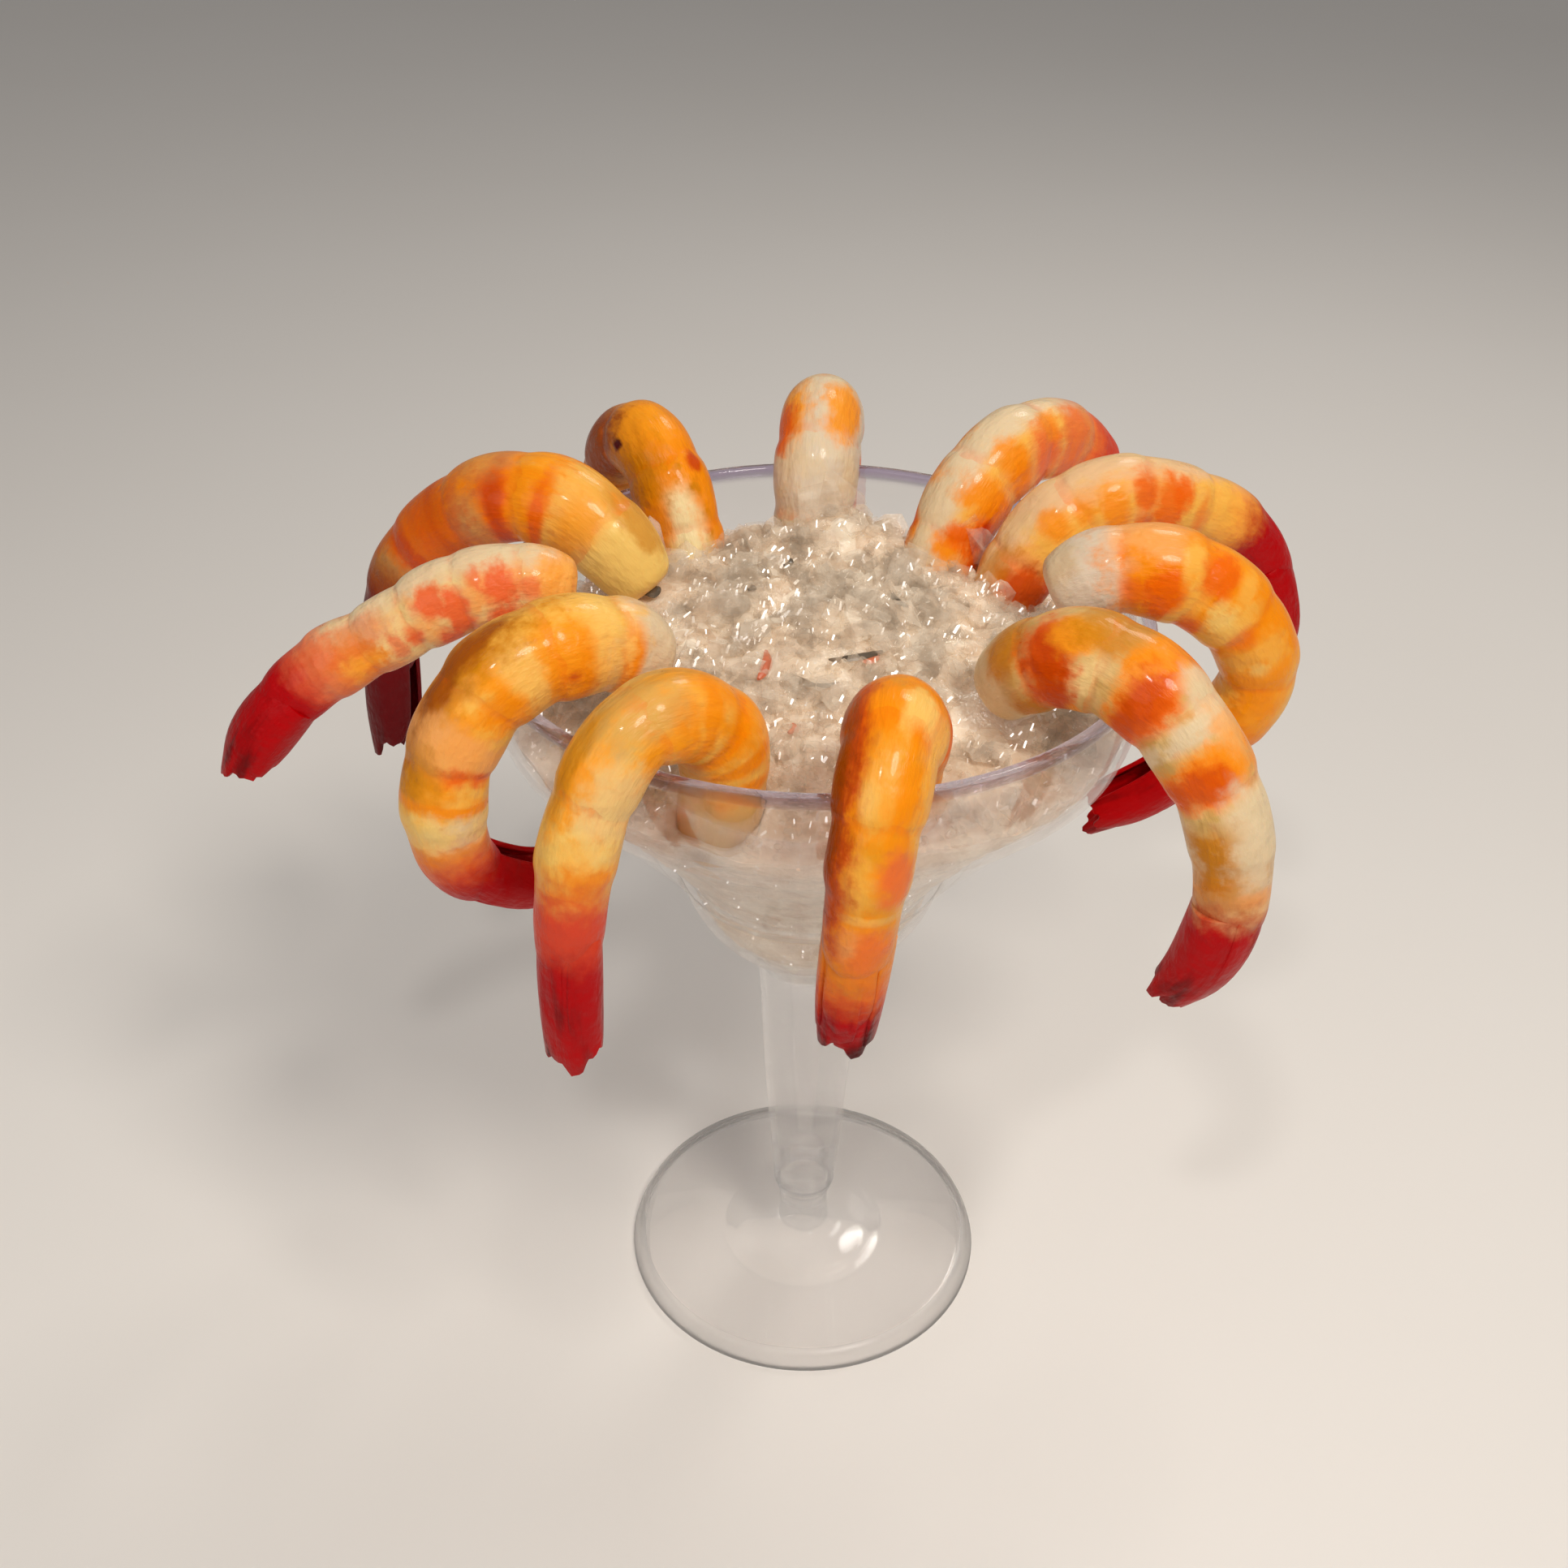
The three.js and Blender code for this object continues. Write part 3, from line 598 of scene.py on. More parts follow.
def ice_core():
    """The packed ice: it fills the bowl into its wall, lumpy against the wall and on its dome."""
    wall = along_wall(-ICE_INTO_WALL)
    low = wall[-1][1]
    side = finely(wall[::-1], ICE_WALL_SPACING)
    top = [(wall[0][0] * (1 - i / 40), ICE_EDGE_HEIGHT) for i in range(40)]
    core = turned("ice_core", [(1.0, low), (5.0, low)] + side + top, ICE_SIDES)
    surface = core.vertex_groups.new(name="surface")
    against_wall = core.vertex_groups.new(name="against_wall")
    for vertex in core.data.vertices:
        height = vertex.co.z / MM
        x, y = (vertex.co.x - AXIS.x) / MM, (vertex.co.y - AXIS.y) / MM
        radius, turn = math.hypot(x, y), math.atan2(y, x)
        share = 1 + min((height - ICE_EDGE_HEIGHT) / ICE_EDGE_DEPTH,
                        (radius - ICE_EDGE_RADIUS) / ICE_EDGE_REACH, 0)
        wave = sum(math.sin(waves * turn + start) for waves, start in ICE_EDGE_WAVES)
        vertex.co.z += ICE_EDGE_WAVE * wave * max(share, 0) * MM
        if height > ICE_EDGE_HEIGHT - 0.5:
            if radius < ICE_EDGE_RADIUS - ICE_DOME_INSET:
                vertex.co.z = (ice_height(x, y) - ICE_DOME_DROP) * MM
                surface.add([vertex.index], 1.0, "REPLACE")
        elif low + 1.0 < height:
            against_wall.add([vertex.index], 1.0, "REPLACE")
    grain = unevenness("ice_grain", "CLOUDS", 0.0042)
    grain.noise_depth = 2
    modifier(core, "DISPLACE", texture=grain, strength=3.0 * MM, mid_level=0.5,
             vertex_group="surface", texture_coords="GLOBAL", direction="Z")
    modifier(core, "DISPLACE", texture=unevenness("ice_pieces", "VORONOI", 0.0046),
             strength=-ICE_WALL_RELIEF * MM, mid_level=0.0, vertex_group="against_wall",
             texture_coords="GLOBAL")
    apply_modifiers(core)
    return core


def carve(core, prawns):
    """Cuts a socket in the packed ice for each prawn that is pushed into it."""
    for prawn in prawns:
        tool = copy_of(prawn, "socket")
        modifier(tool, "DISPLACE", strength=0.25 * MM, mid_level=0.0)
        apply_modifiers(tool)
        modifier(core, "BOOLEAN", operation="DIFFERENCE", object=tool, solver="MANIFOLD")
        apply_modifiers(core)
        discard(tool)


def some_direction(rng):
    return Vector((rng.gauss(0, 1), rng.gauss(0, 1), rng.gauss(0, 1))).normalized()


def ice_chip_shapes(count, rng):
    """Angular chips, each a cube cut by a few slanting planes."""
    shapes = []
    for _ in range(count):
        deselect()
        bpy.ops.mesh.primitive_cube_add(size=1.0)
        chip = bpy.context.object
        chip.scale = (1.0, rng.uniform(0.6, 0.95), rng.uniform(0.35, 0.7))
        settle(chip)
        start_edit()
        for _ in range(5):
            normal = some_direction(rng)
            bpy.ops.mesh.select_all(action="SELECT")
            bpy.ops.mesh.bisect(plane_co=tuple(normal * rng.uniform(0.24, 0.38)),
                                plane_no=tuple(normal), use_fill=True, clear_outer=True)
        bpy.ops.mesh.select_all(action="SELECT")
        bpy.ops.mesh.quads_convert_to_tris()
        end_edit()
        points = np.array([v.co[:] for v in chip.data.vertices])
        faces = np.array([p.vertices[:] for p in chip.data.polygons])
        shapes.append((points, faces))
        discard(chip)
    return shapes


def random_turn(rng):
    axis = some_direction(rng)
    return np.array(Matrix.Rotation(rng.uniform(0, 2 * math.pi), 3, axis))


def scattered(name, shapes, places, rng):
    """One joined mesh of many chips. places: (centre, size, turn) for each, in metres."""
    points, faces, tones, count = [], [], [], 0
    for centre, size, turn in places:
        shape_points, shape_faces = shapes[rng.randrange(len(shapes))]
        points.append(shape_points * size @ turn.T + np.array(centre))
        faces.append(shape_faces + count)
        tones += [rng.random()] * len(shape_points)
        count += len(shape_points)
    mesh = bpy.data.meshes.new(name)
    mesh.from_pydata(np.concatenate(points).tolist(), [], np.concatenate(faces).tolist())
    mesh.attributes.new("tone", "FLOAT", "POINT").data.foreach_set("value", tones)
    return added(name, mesh)


def scraps_and_shade_slips():
    """Thin curved slips lying in the ice, red scraps and near-black slips of painted shade: a
    grid, bent into a slip and thickened, for each.
    """
    slips = []
    for x, y, height, length, width, turn, redness in ICE_SCRAPS_AND_SHADE_SLIPS:
        deselect()
        bpy.ops.mesh.primitive_grid_add(x_subdivisions=8, y_subdivisions=3, size=1.0)
        slip = bpy.context.object
        for vertex in slip.data.vertices:
            along, across = vertex.co.x, vertex.co.y
            taper = 1 - (2 * abs(along)) ** 2 * 0.8
            vertex.co = (along * length * MM, (across * width * taper + along ** 2 * 2.4) * MM,
                         (-along ** 2 * 1.6 - across ** 2 * 0.8) * MM)
        slip.data.attributes.new("tone", "FLOAT", "POINT").data.foreach_set(
            "value", [redness] * len(slip.data.vertices))
        modifier(slip, "SOLIDIFY", thickness=0.5 * MM, offset=0.0)
        apply_modifiers(slip)
        slip.location = over_table(x, y, height)
        slip.rotation_euler = (math.radians(25), 0, math.radians(turn))
        settle(slip)
        slips.append(slip)
    focus(*slips)
    bpy.ops.object.join()
    scraps = bpy.context.object
    scraps.name = "ice_scraps"
    return scraps


def prawn_beads():
    """Balls along each prawn's centre line that loose ice stays clear of."""
    beads = []
    for prawn in PRAWNS.values():
        line, place = spine_line(prawn), prawn_place(prawn)
        for i in range(0, len(line), 3):
            share = body_share(i / (len(line) - 1))
            beads.append((place @ Vector((*line[i], 0)), prawn["girth"] / 2 * share * MM))
    return beads


def clear_of(centre, size, beads):
    """Whether ice of this size, in millimetres, stays clear of the prawns."""
    return all((centre - bead).length > reach + size * 0.3 * MM for bead, reach in beads)


def loose_places(count, small, large, lift, rng, beads):
    """Seeded places for loose ice over the heap, clear of the prawns and the glass."""
    places = []
    tries = 0
    while len(places) < count and tries < count * 6:
        tries += 1
        size = small + (large - small) * rng.random() ** 1.6
        radius = (ICE_EDGE_RADIUS - size * 0.45) * math.sqrt(rng.random())
        turn = rng.uniform(0, 2 * math.pi)
        x, y = radius * math.cos(turn), radius * math.sin(turn)
        centre = over_table(x, y, ice_height(x, y) + size * rng.uniform(*lift))
        if clear_of(centre, size, beads):
            places.append((tuple(centre), size * MM, random_turn(rng)))
    return places


def wall_places(count, rng, beads):
    """Places for glowing splinters, painted glints, just inside the wall, between the pieces
    pressed on it.
    """
    line = finely(along_wall(SPLINTER_INSET), 0.5)
    weights = [radius for radius, _ in line]
    places = []
    for _ in range(count):
        radius, height = rng.choices(line, weights=weights)[0]
        turn = rng.uniform(0, 2 * math.pi)
        centre = over_table(radius * math.cos(turn), radius * math.sin(turn), height)
        size = rng.uniform(*SPLINTER_SIZES)
        if clear_of(centre, size, beads):
            places.append((tuple(centre), size * MM, None))
    return places


def clustered_places(rng):
    """Close groups of small glowing splinters, painted glints."""
    places = []
    for x, y, spread, count in GLINT_CLUSTERS:
        for _ in range(count):
            near_x, near_y = x + rng.gauss(0, spread * 0.5), y + rng.gauss(0, spread)
            lift = rng.uniform(*CLUSTER_LIFT)
            centre = over_table(near_x, near_y, ice_height(near_x, near_y) + lift)
            places.append((tuple(centre), rng.uniform(*CLUSTER_SIZES) * MM, None))
    return places


def packed_ice_finish():
    """Ice pressed together: cloudy and warm, with paler lumps, painted shade as darker gaps,
    painted glints as bright specks, and a faint painted glow in its own colour.
    """
    finish = Finish("packed_ice")
    ice = bpy.context.scene.cocktail.ice
    place = finish.place()
    lumps = finish.noise(place, 190, 3, 0.6, 0.4)
    grain = finish.noise(place, 640, 3, 0.7)
    piece = finish.parts(finish.cells(place, 230, output="Color"))[0]
    pale = finish.step(lumps * 0.5 + piece * 0.3 + grain * 0.5, 0.42, 0.92)
    # painted shade: patches of the gap colour where shade falls between the pieces
    gaps = finish.step(finish.noise(place, 330, 3, 0.6), 0.38, 0.26)
    # painted glints: small white specks
    painted_glint = finish.step(grain, 0.66, 0.70)
    colour = finish.mix(pale, tuple(ice.packed), tuple(ice.pale))
    colour = finish.mix(gaps * 0.35, colour, tuple(ice.shade))
    colour = finish.mix(painted_glint, colour, (1.0, 1.0, 1.0))
    relief = grain * 0.4 + lumps * 0.8 + piece * 0.15
    return finish.done({
        "Base Color": colour, "Roughness": 0.18, "IOR": 1.4,
        # a faint glow in the ice's own colour: painted light that lifts its shade
        "Emission Color": colour, "Emission Strength": 0.05,
        "Subsurface Weight": 0.7, "Subsurface Radius": (0.006, 0.006, 0.006),
        "Subsurface Scale": 1.0, "Normal": finish.bump(relief, 0.7, 0.0012)})


def loose_ice_finish(name, thin, thick):
    """Wet chips, each part clear and part cloudy, more solid towards their outlines as a painted
    edge sheen, and with a faint painted glow in their own colour. thin, thick: how solid the two
    parts look.
    """
    finish = Finish(name)
    ice = bpy.context.scene.cocktail.ice
    place = finish.place()
    cloud = finish.step(finish.noise(place, 170, 3, 0.55), 0.40, 0.64)
    milk = finish.step(finish.attribute("tone", "Fac") * 0.7 + cloud * 0.5, 0.35, 0.95)
    # more solid where the surface turns away: a painted edge sheen
    edge = finish.add("ShaderNodeLayerWeight", inputs={"Blend": 0.35}, output="Facing")
    colour = finish.mix(milk, tuple(ice.clear), tuple(ice.pale))
    return finish.done({
        "Base Color": colour, "Roughness": 0.06, "IOR": 1.4,
        # a faint glow in the chip's own colour: painted light
        "Emission Color": colour, "Emission Strength": 0.04,
        "Alpha": thin + (thick - thin) * (milk * 0.6 + edge * 0.5),
        "Normal": finish.bump(finish.noise(place, 620, 3), 0.6, 0.0008)})


def glint_finish():
    """Painted glints: splinters that glow, the brightest in white, for light caught on facets."""
    finish = Finish("ice_glints")
    bright = finish.step(finish.attribute("tone", "Fac"), 0.25, 0.95)
    shine = finish.mix(bright, (0.02, 0.018, 0.016), (1.0, 1.0, 1.0))
    return finish.done({"Base Color": srgb(240, 228, 212), "Roughness": 0.1,
                        "Emission Color": shine, "Emission Strength": 1.3})


def scrap_and_shade_finish():
    """Slips in the ice, from near black to the red of the flesh: the near-black ones are painted
    shade in hollows between the pieces, the red ones scraps of flesh.
    """
    finish = Finish("scraps")
    redness = finish.step(finish.attribute("tone", "Fac"), 0.45, 0.55)
    mottle = finish.noise(finish.place(), 400, 2)
    # near black: painted shade in hollows between the pieces
    hollow_shade = finish.mix(mottle, srgb(52, 44, 34), srgb(112, 98, 82))
    red = finish.mix(mottle, srgb(176, 60, 24), srgb(226, 140, 100))
    return finish.done({"Base Color": finish.mix(redness, hollow_shade, red), "Roughness": 0.25})


# ---- prawns ----

def prawn_place(prawn):
    """The matrix of the prawn's own plane: X outwards, Y up, from where it crosses the rim."""
    seat = math.radians(prawn["seat"])
    heading = math.radians(prawn["seat"] + prawn["turn"])
    lean = math.radians(prawn["lean"])
    outward = Vector((math.cos(heading), math.sin(heading), 0))
    level = Vector((-math.sin(heading), math.cos(heading), 0))
    up = Vector((0, 0, math.cos(lean))) + level * math.sin(lean)
    side = outward.cross(up)
    rim = AXIS + Vector((math.cos(seat), math.sin(seat), 0)) * RIM_RADIUS * MM
    rim.z = RIM_HEIGHT * MM
    return Matrix.Translation(rim) @ Matrix((outward, up, side)).transposed().to_4x4()


def between(first, last, start, end, at):
    """The point on the way from first, at start, to last, at end."""
    return first * ((end - at) / (end - start)) + last * ((at - start) / (end - start))


def spine_line(prawn, steps=120):
    """The centre line as evenly spaced points in the prawn's plane: a centripetal Catmull-Rom."""
    points = [Vector(p) for p in prawn["spine"]]
    points = [points[0] * 2 - points[1]] + points + [points[-1] * 2 - points[-2]]
    fine = []
    for p0, p1, p2, p3 in zip(points, points[1:], points[2:], points[3:]):
        t0 = 0.0
        t1 = t0 + (p1 - p0).length ** 0.5
        t2 = t1 + (p2 - p1).length ** 0.5
        t3 = t2 + (p3 - p2).length ** 0.5
        for i in range(24):
            t = t1 + (t2 - t1) * i / 24
            a1, a2 = between(p0, p1, t0, t1, t), between(p1, p2, t1, t2, t)
            a3 = between(p2, p3, t2, t3, t)
            b1, b2 = between(a1, a2, t0, t2, t), between(a2, a3, t1, t3, t)
            fine.append(between(b1, b2, t1, t2, t))
    fine.append(points[-2])
    lengths = [0.0]
    for before, after in zip(fine, fine[1:]):
        lengths.append(lengths[-1] + (after - before).length)
    line, i = [], 0
    for n in range(steps + 1):
        target = lengths[-1] * n / steps
        while i < len(fine) - 2 and lengths[i + 1] < target:
            i += 1
        share = (target - lengths[i]) / (lengths[i + 1] - lengths[i])
        line.append(fine[i].lerp(fine[i + 1], share) * MM)
    return line


def line_length(line):
    return sum((after - before).length for before, after in zip(line, line[1:]))


def body_share(along):
    """How the body thickens and thins, as a share of its girth, from head (0) to tail (1)."""
    head_round = (1 - HEAD_THINNER) + HEAD_THINNER * min(along / HEAD_FULL, 1)
    slimming = 1 - SLIMMING * max(along - SLIM_FROM, 0)
    return head_round * slimming


def body_stations():
    """(share of the length, size against girth) for each ring of the prawn's body."""
    stations = list(HEAD_RINGS)
    for plate in range(PLATES):
        for share, swell in PLATE_SWELL:
            along = (plate + share) / PLATES * FLESH_END
            if along > FIRST_PLATE_RING:
                stations.append((along, body_share(along) * swell))
    for i, swell in enumerate(LAST_RINGS):
        along = FLESH_END + 0.006 + (TAIL_ROOT - FLESH_END - 0.006) * i / 4
        stations.append((along, body_share(along) * swell))
    stations.append((TAIL_ROOT + 0.01, body_share(TAIL_ROOT) * 0.68))
    stations.append((TAIL_ROOT + 0.014, body_share(TAIL_ROOT) * 0.3))
    return stations


def straight_body():
    """The peeled body, straight along X with its back up along Y: a shaped circle, extruded."""
    half = MASTER_GIRTH / 2 * MM
    stations = body_stations()
    deselect()
    bpy.ops.mesh.primitive_circle_add(vertices=20, radius=half, rotation=(0, math.pi / 2, 0))
    body = bpy.context.object
    body.name = "straight_body"
    settle(body)
    for vertex in body.data.vertices:
        back = vertex.co.y / half
        vertex.co.z *= 0.94
        if back < 0:
            vertex.co.y *= BELLY
        if back < -0.95:
            vertex.co.y *= 0.93
        if back > 0.95:
            vertex.co.y *= 1.015
    start_edit()
    first = stations[0][1]
    bpy.ops.transform.resize(value=(1, first, first), center_override=(0, 0, 0))
    draw_out([(share * MASTER_LENGTH * MM, size) for share, size in stations], 0, (0, 0, 0))
    return body


def tail_blade(name, length, width, cup, taper):
    """One blade of the tail fan, along X from its root, cupped, ribbed and ragged at its tip."""
    deselect()
    bpy.ops.mesh.primitive_grid_add(x_subdivisions=10, y_subdivisions=12, size=1.0)
    blade = bpy.context.object
    blade.name = name
    for vertex in blade.data.vertices:
        share = vertex.co.x + 0.5
        across = vertex.co.y * 2
        swell = 0.82 + 0.18 * math.sin(min(share / 0.6, 1) * math.pi / 2)
        swell -= max(share - 0.72, 0) ** 1.4 * taper
        ragged = 0.04 * across + 0.10 * across ** 2
        rib = 0.15 * math.exp(-(across / 0.25) ** 2)
        vertex.co.x = (share - ragged * max(share - 0.6, 0) / 0.4) * length * MM
        vertex.co.y = across * width / 2 * swell * MM
        vertex.co.z = (rib - cup * across ** 2) * MM
    modifier(blade, "SOLIDIFY", thickness=0.9 * MM, offset=0.0)
    modifier(blade, "BEVEL", width=0.15 * MM, segments=1, limit_method="ANGLE")
    apply_modifiers(blade)
    return blade


def fray(blade, length, rng):
    """Breaks a blade's tip into a few uneven teeth."""
    phase, depth = rng.uniform(0, 2 * math.pi), rng.uniform(0.6, 1.2)
    for vertex in blade.data.vertices:
        near_tip = max(vertex.co.x / length - 0.6, 0) / 0.4
        across = vertex.co.y / MM
        teeth = math.cos(across + phase) + 0.4 * math.cos(across * 2.7 + phase * 2)
        vertex.co.x -= near_tip * depth * 0.045 * length * teeth


def straight_tail(rng, fan, flare, point):
    """The closed fan: a middle blade over two pairs, set round the straight tail's root."""
    middle = tail_blade("middle_blade", *MIDDLE_BLADE)
    paddle = tail_blade("paddle_blade", *PADDLE_BLADE)
    half = MASTER_GIRTH / 2 * body_share(TAIL_ROOT)
    root_at = (TAIL_ROOT * MASTER_LENGTH - TAIL_INTO_BODY) * MM
    blades = []
    for roll, out, spread, shorter in TAIL_BLADES:
        turn = math.radians(roll + rng.uniform(-8, 8))
        away = Vector((0, math.cos(turn), math.sin(turn)))
        swing = math.radians(spread + rng.uniform(-1.0, 2.5)) * flare
        along = Vector((math.cos(swing), 0, 0)) + away * math.sin(swing)
        thick = (away - along * away.dot(along)).normalized()
        across = thick.cross(along)
        blade = copy_of(middle if roll == 0 else paddle, "blade")
        fray(blade, 22 * MM, rng)
        root = Vector((root_at, 0, 0)) + away * half * out * MM
        place = Matrix((along, across, thick)).transposed().to_4x4()
        size = Matrix.Diagonal((shorter * rng.uniform(0.9, 1.06), rng.uniform(0.9, 1.1), 1, 1))
        blade.matrix_world = Matrix.Translation(root) @ place @ size
        settle(blade)
        blades.append(blade)
    discard(middle, paddle)
    focus(*blades)
    bpy.ops.object.join()
    tail = bpy.context.object
    tail.name = "straight_tail"
    start = (TAIL_ROOT * MASTER_LENGTH - 4) * MM
    for vertex in tail.data.vertices:
        share = max(vertex.co.x - start, 0) / (20 * MM)
        size = fan * (1 - point * share ** 1.5)
        vertex.co.z *= 1.02 * size
        vertex.co.y *= 0.90 * size
    return tail


def fatten(body, rear, belly):
    """Thickens the last part of the straight body, before its tail, and deepens its belly."""
    for vertex in body.data.vertices:
        share = min(max((vertex.co.x / (MASTER_LENGTH * MM) - 0.45) / 0.25, 0), 1)
        factor = 1 + (rear - 1) * share * share * (3 - 2 * share)
        vertex.co.y *= factor * (belly / BELLY if vertex.co.y < 0 else 1)
        vertex.co.z *= factor


def remember_straight(piece):
    """Keeps each point's place on the straight prawn: share of length, back and side."""
    half = MASTER_GIRTH / 2 * MM
    laid = piece.data.attributes.new("laid", "FLOAT_VECTOR", "POINT")
    values = []
    for vertex in piece.data.vertices:
        values += [vertex.co.x / (MASTER_LENGTH * MM), vertex.co.y / half, vertex.co.z / half]
    laid.data.foreach_set("vector", values)


def bend(piece, prawn):
    """Curls the straight piece along the prawn's centre line and sets it on the rim."""
    line = spine_line(prawn)
    length = line_length(line) / (MASTER_LENGTH * MM)
    girth = prawn["girth"] / MASTER_GIRTH
    piece.scale = (length, girth, girth)
    settle(piece)
    track_data = bpy.data.curves.new("track", "CURVE")
    track_data.dimensions = "2D"
    spline = track_data.splines.new("POLY")
    spline.points.add(len(line) - 1)
    for point, spot in zip(spline.points, line):
        point.co = (spot.x, spot.y, 0, 1)
    track = added("track", track_data)
    track.matrix_world = prawn_place(prawn)
    piece.matrix_world = prawn_place(prawn)
    modifier(piece, "CURVE", object=track, deform_axis="POS_X")
    apply_modifiers(piece)
    settle(piece)
    discard(track)


def blotch(finish, even, warp, along, turn, length, width):
    """A soft-edged patch on the straight prawn, 1 in its middle. turn: degrees from the back.
    along, length: hundredths of the prawn's length. width: hundredths of half its girth."""
    stretch = MASTER_LENGTH / (MASTER_GIRTH / 2) / 100
    centre = (along * stretch, math.cos(math.radians(turn)), math.sin(math.radians(turn)))
    offset = finish.vector("SUBTRACT", even, centre)
    sizes = (1 / (length * stretch), 100 / width, 100 / width)
    return finish.step(finish.length(finish.vector("MULTIPLY", offset, sizes)) + warp, 1.5, 0.55)


def prawn_finish(name, tones):
    """Cooked flesh, cream to orange, banded at each plate and blotched, with a red tail. On some
    prawns a few patches are painted shade on the flank turned from the light, and one is a
    painted highlight.
    """
    finish = Finish(name)
    laid = finish.attribute("laid", "Vector")
    along, back, _ = finish.parts(laid)
    stretch = MASTER_LENGTH / (MASTER_GIRTH / 2)
    even = finish.vector("MULTIPLY", laid, (stretch, 1.0, 1.0))
    shift = tones["seed"] * 1.37
    noise_place = finish.vector("ADD", even, (shift * 3, shift, -shift * 2))
    broad = finish.noise(noise_place, 0.9, 3, 0.55)
    fine = finish.noise(noise_place, 3.2, 4, 0.6)
    warp = (broad - 0.5) * 0.8 + (fine - 0.5) * 1.5
    if tones["mirrored"]:
        even = finish.vector("ABSOLUTE", even, (0, 0, 0))

    colour = finish.mix(finish.step(broad + (fine - 0.5) * 0.4, 0.36, 0.66),
                        tones["base"], tones["second"])
    ridge = finish.step(back + (fine - 0.5) * 0.35, 0.62, 0.97)
    colour = finish.mix(ridge * tones["ridge"], colour, tones["ridge_tone"])
    phase = (along + (broad - 0.5) * 0.05) * (PLATES / FLESH_END)
    ring = phase.fraction()
    band = finish.step(abs(ring - 0.5), 0.3, 0.0)
    in_flesh = finish.step(along, FLESH_END + 0.02, FLESH_END - 0.06)
    reach = finish.step(along, tones["bands_from"] - 0.06, tones["bands_from"] + 0.02)
    patchy = finish.step(fine + broad * 0.5, 0.55, 0.95)
    colour = finish.mix(band * in_flesh * reach * (0.3 + patchy) * tones["bands"],
                        colour, tones["band"])
    # patches over the flesh; a few are painted shade on a flank turned from the light, one is a
    # painted highlight
    for *patch, amount, tone in tones["blotches"]:
        colour = finish.mix(blotch(finish, even, warp, *patch) * (amount / 100), colour, tone)
    creases = finish.step(abs(ring - 0.03), 0.13, 0.0)
    colour = finish.mix(creases * in_flesh * patchy * 0.3, colour, tones["band"])
    belly = finish.step(back, -0.6, -0.88)
    colour = finish.mix(belly * 0.4, colour, CREAM)

    root = tones["tail_at"]
    ragged = along + (fine - 0.5) * 0.07 + (broad - 0.5) * 0.05
    first = tones["flush_from"] or root - 0.09
    flush = finish.step(ragged, first - 0.02, first + 0.10)
    colour = finish.mix(flush * tones["flush_amount"], colour, tones["flush"])
    shell = finish.step(ragged, root - 0.03, root + 0.05)
    streak = finish.noise(finish.vector("MULTIPLY", noise_place, (0.3, 1.7, 1.7)), 1.3, 3, 0.55)
    deep = finish.step(streak + (along - 0.85) * tones["darkens"], 0.50, 0.85)
    colour = finish.mix(shell, colour, finish.mix(deep, tones["tail"], WINE))

    rough = 0.30 + (fine - 0.5) * 0.2 + shell * 0.05
    fibres = finish.noise(finish.vector("MULTIPLY", noise_place, (1.0, 3.0, 3.0)), 2.6, 4, 0.6)
    lumps = finish.noise(noise_place, 2.1, 2, 0.5)
    height = fibres * 0.5 + lumps * 1.2 - creases * in_flesh * 0.3 + shell * streak * 0.5
    return finish.done({
        "Base Color": colour, "Roughness": rough, "IOR": 1.42, "Specular IOR Level": 0.13,
        "Subsurface Weight": 0.12, "Subsurface Radius": (0.003, 0.0014, 0.0007),
        "Subsurface Scale": 1.0, "Coat Weight": 0.16 - shell * 0.14, "Coat Roughness": 0.09,
        "Normal": finish.bump(height, 0.5, 0.0012)})


def look(seed, **changes):
    """The colours of one prawn. Its patches: (along, degrees from the back, length, width, amount,
    colour), the later over the earlier, with along and length in hundredths of the straight
    prawn's length, width in hundredths of half its girth, and amount in hundredths. Most are
    the flesh's own colour, a few are painted shade on a flank turned from the light, one is a
    painted highlight. mirrored: the patches show on both flanks."""
    usual = dict(
        seed=seed, base=CREAM, second=HONEY, ridge=0.0, ridge_tone=PALE, band=TANGERINE,
        bands=0.0, bands_from=0.0, mirrored=True, tail_at=0.69, flush=ROSE, flush_from=None,
        flush_amount=0.9, tail=CRIMSON, darkens=0.6)
    return usual | changes


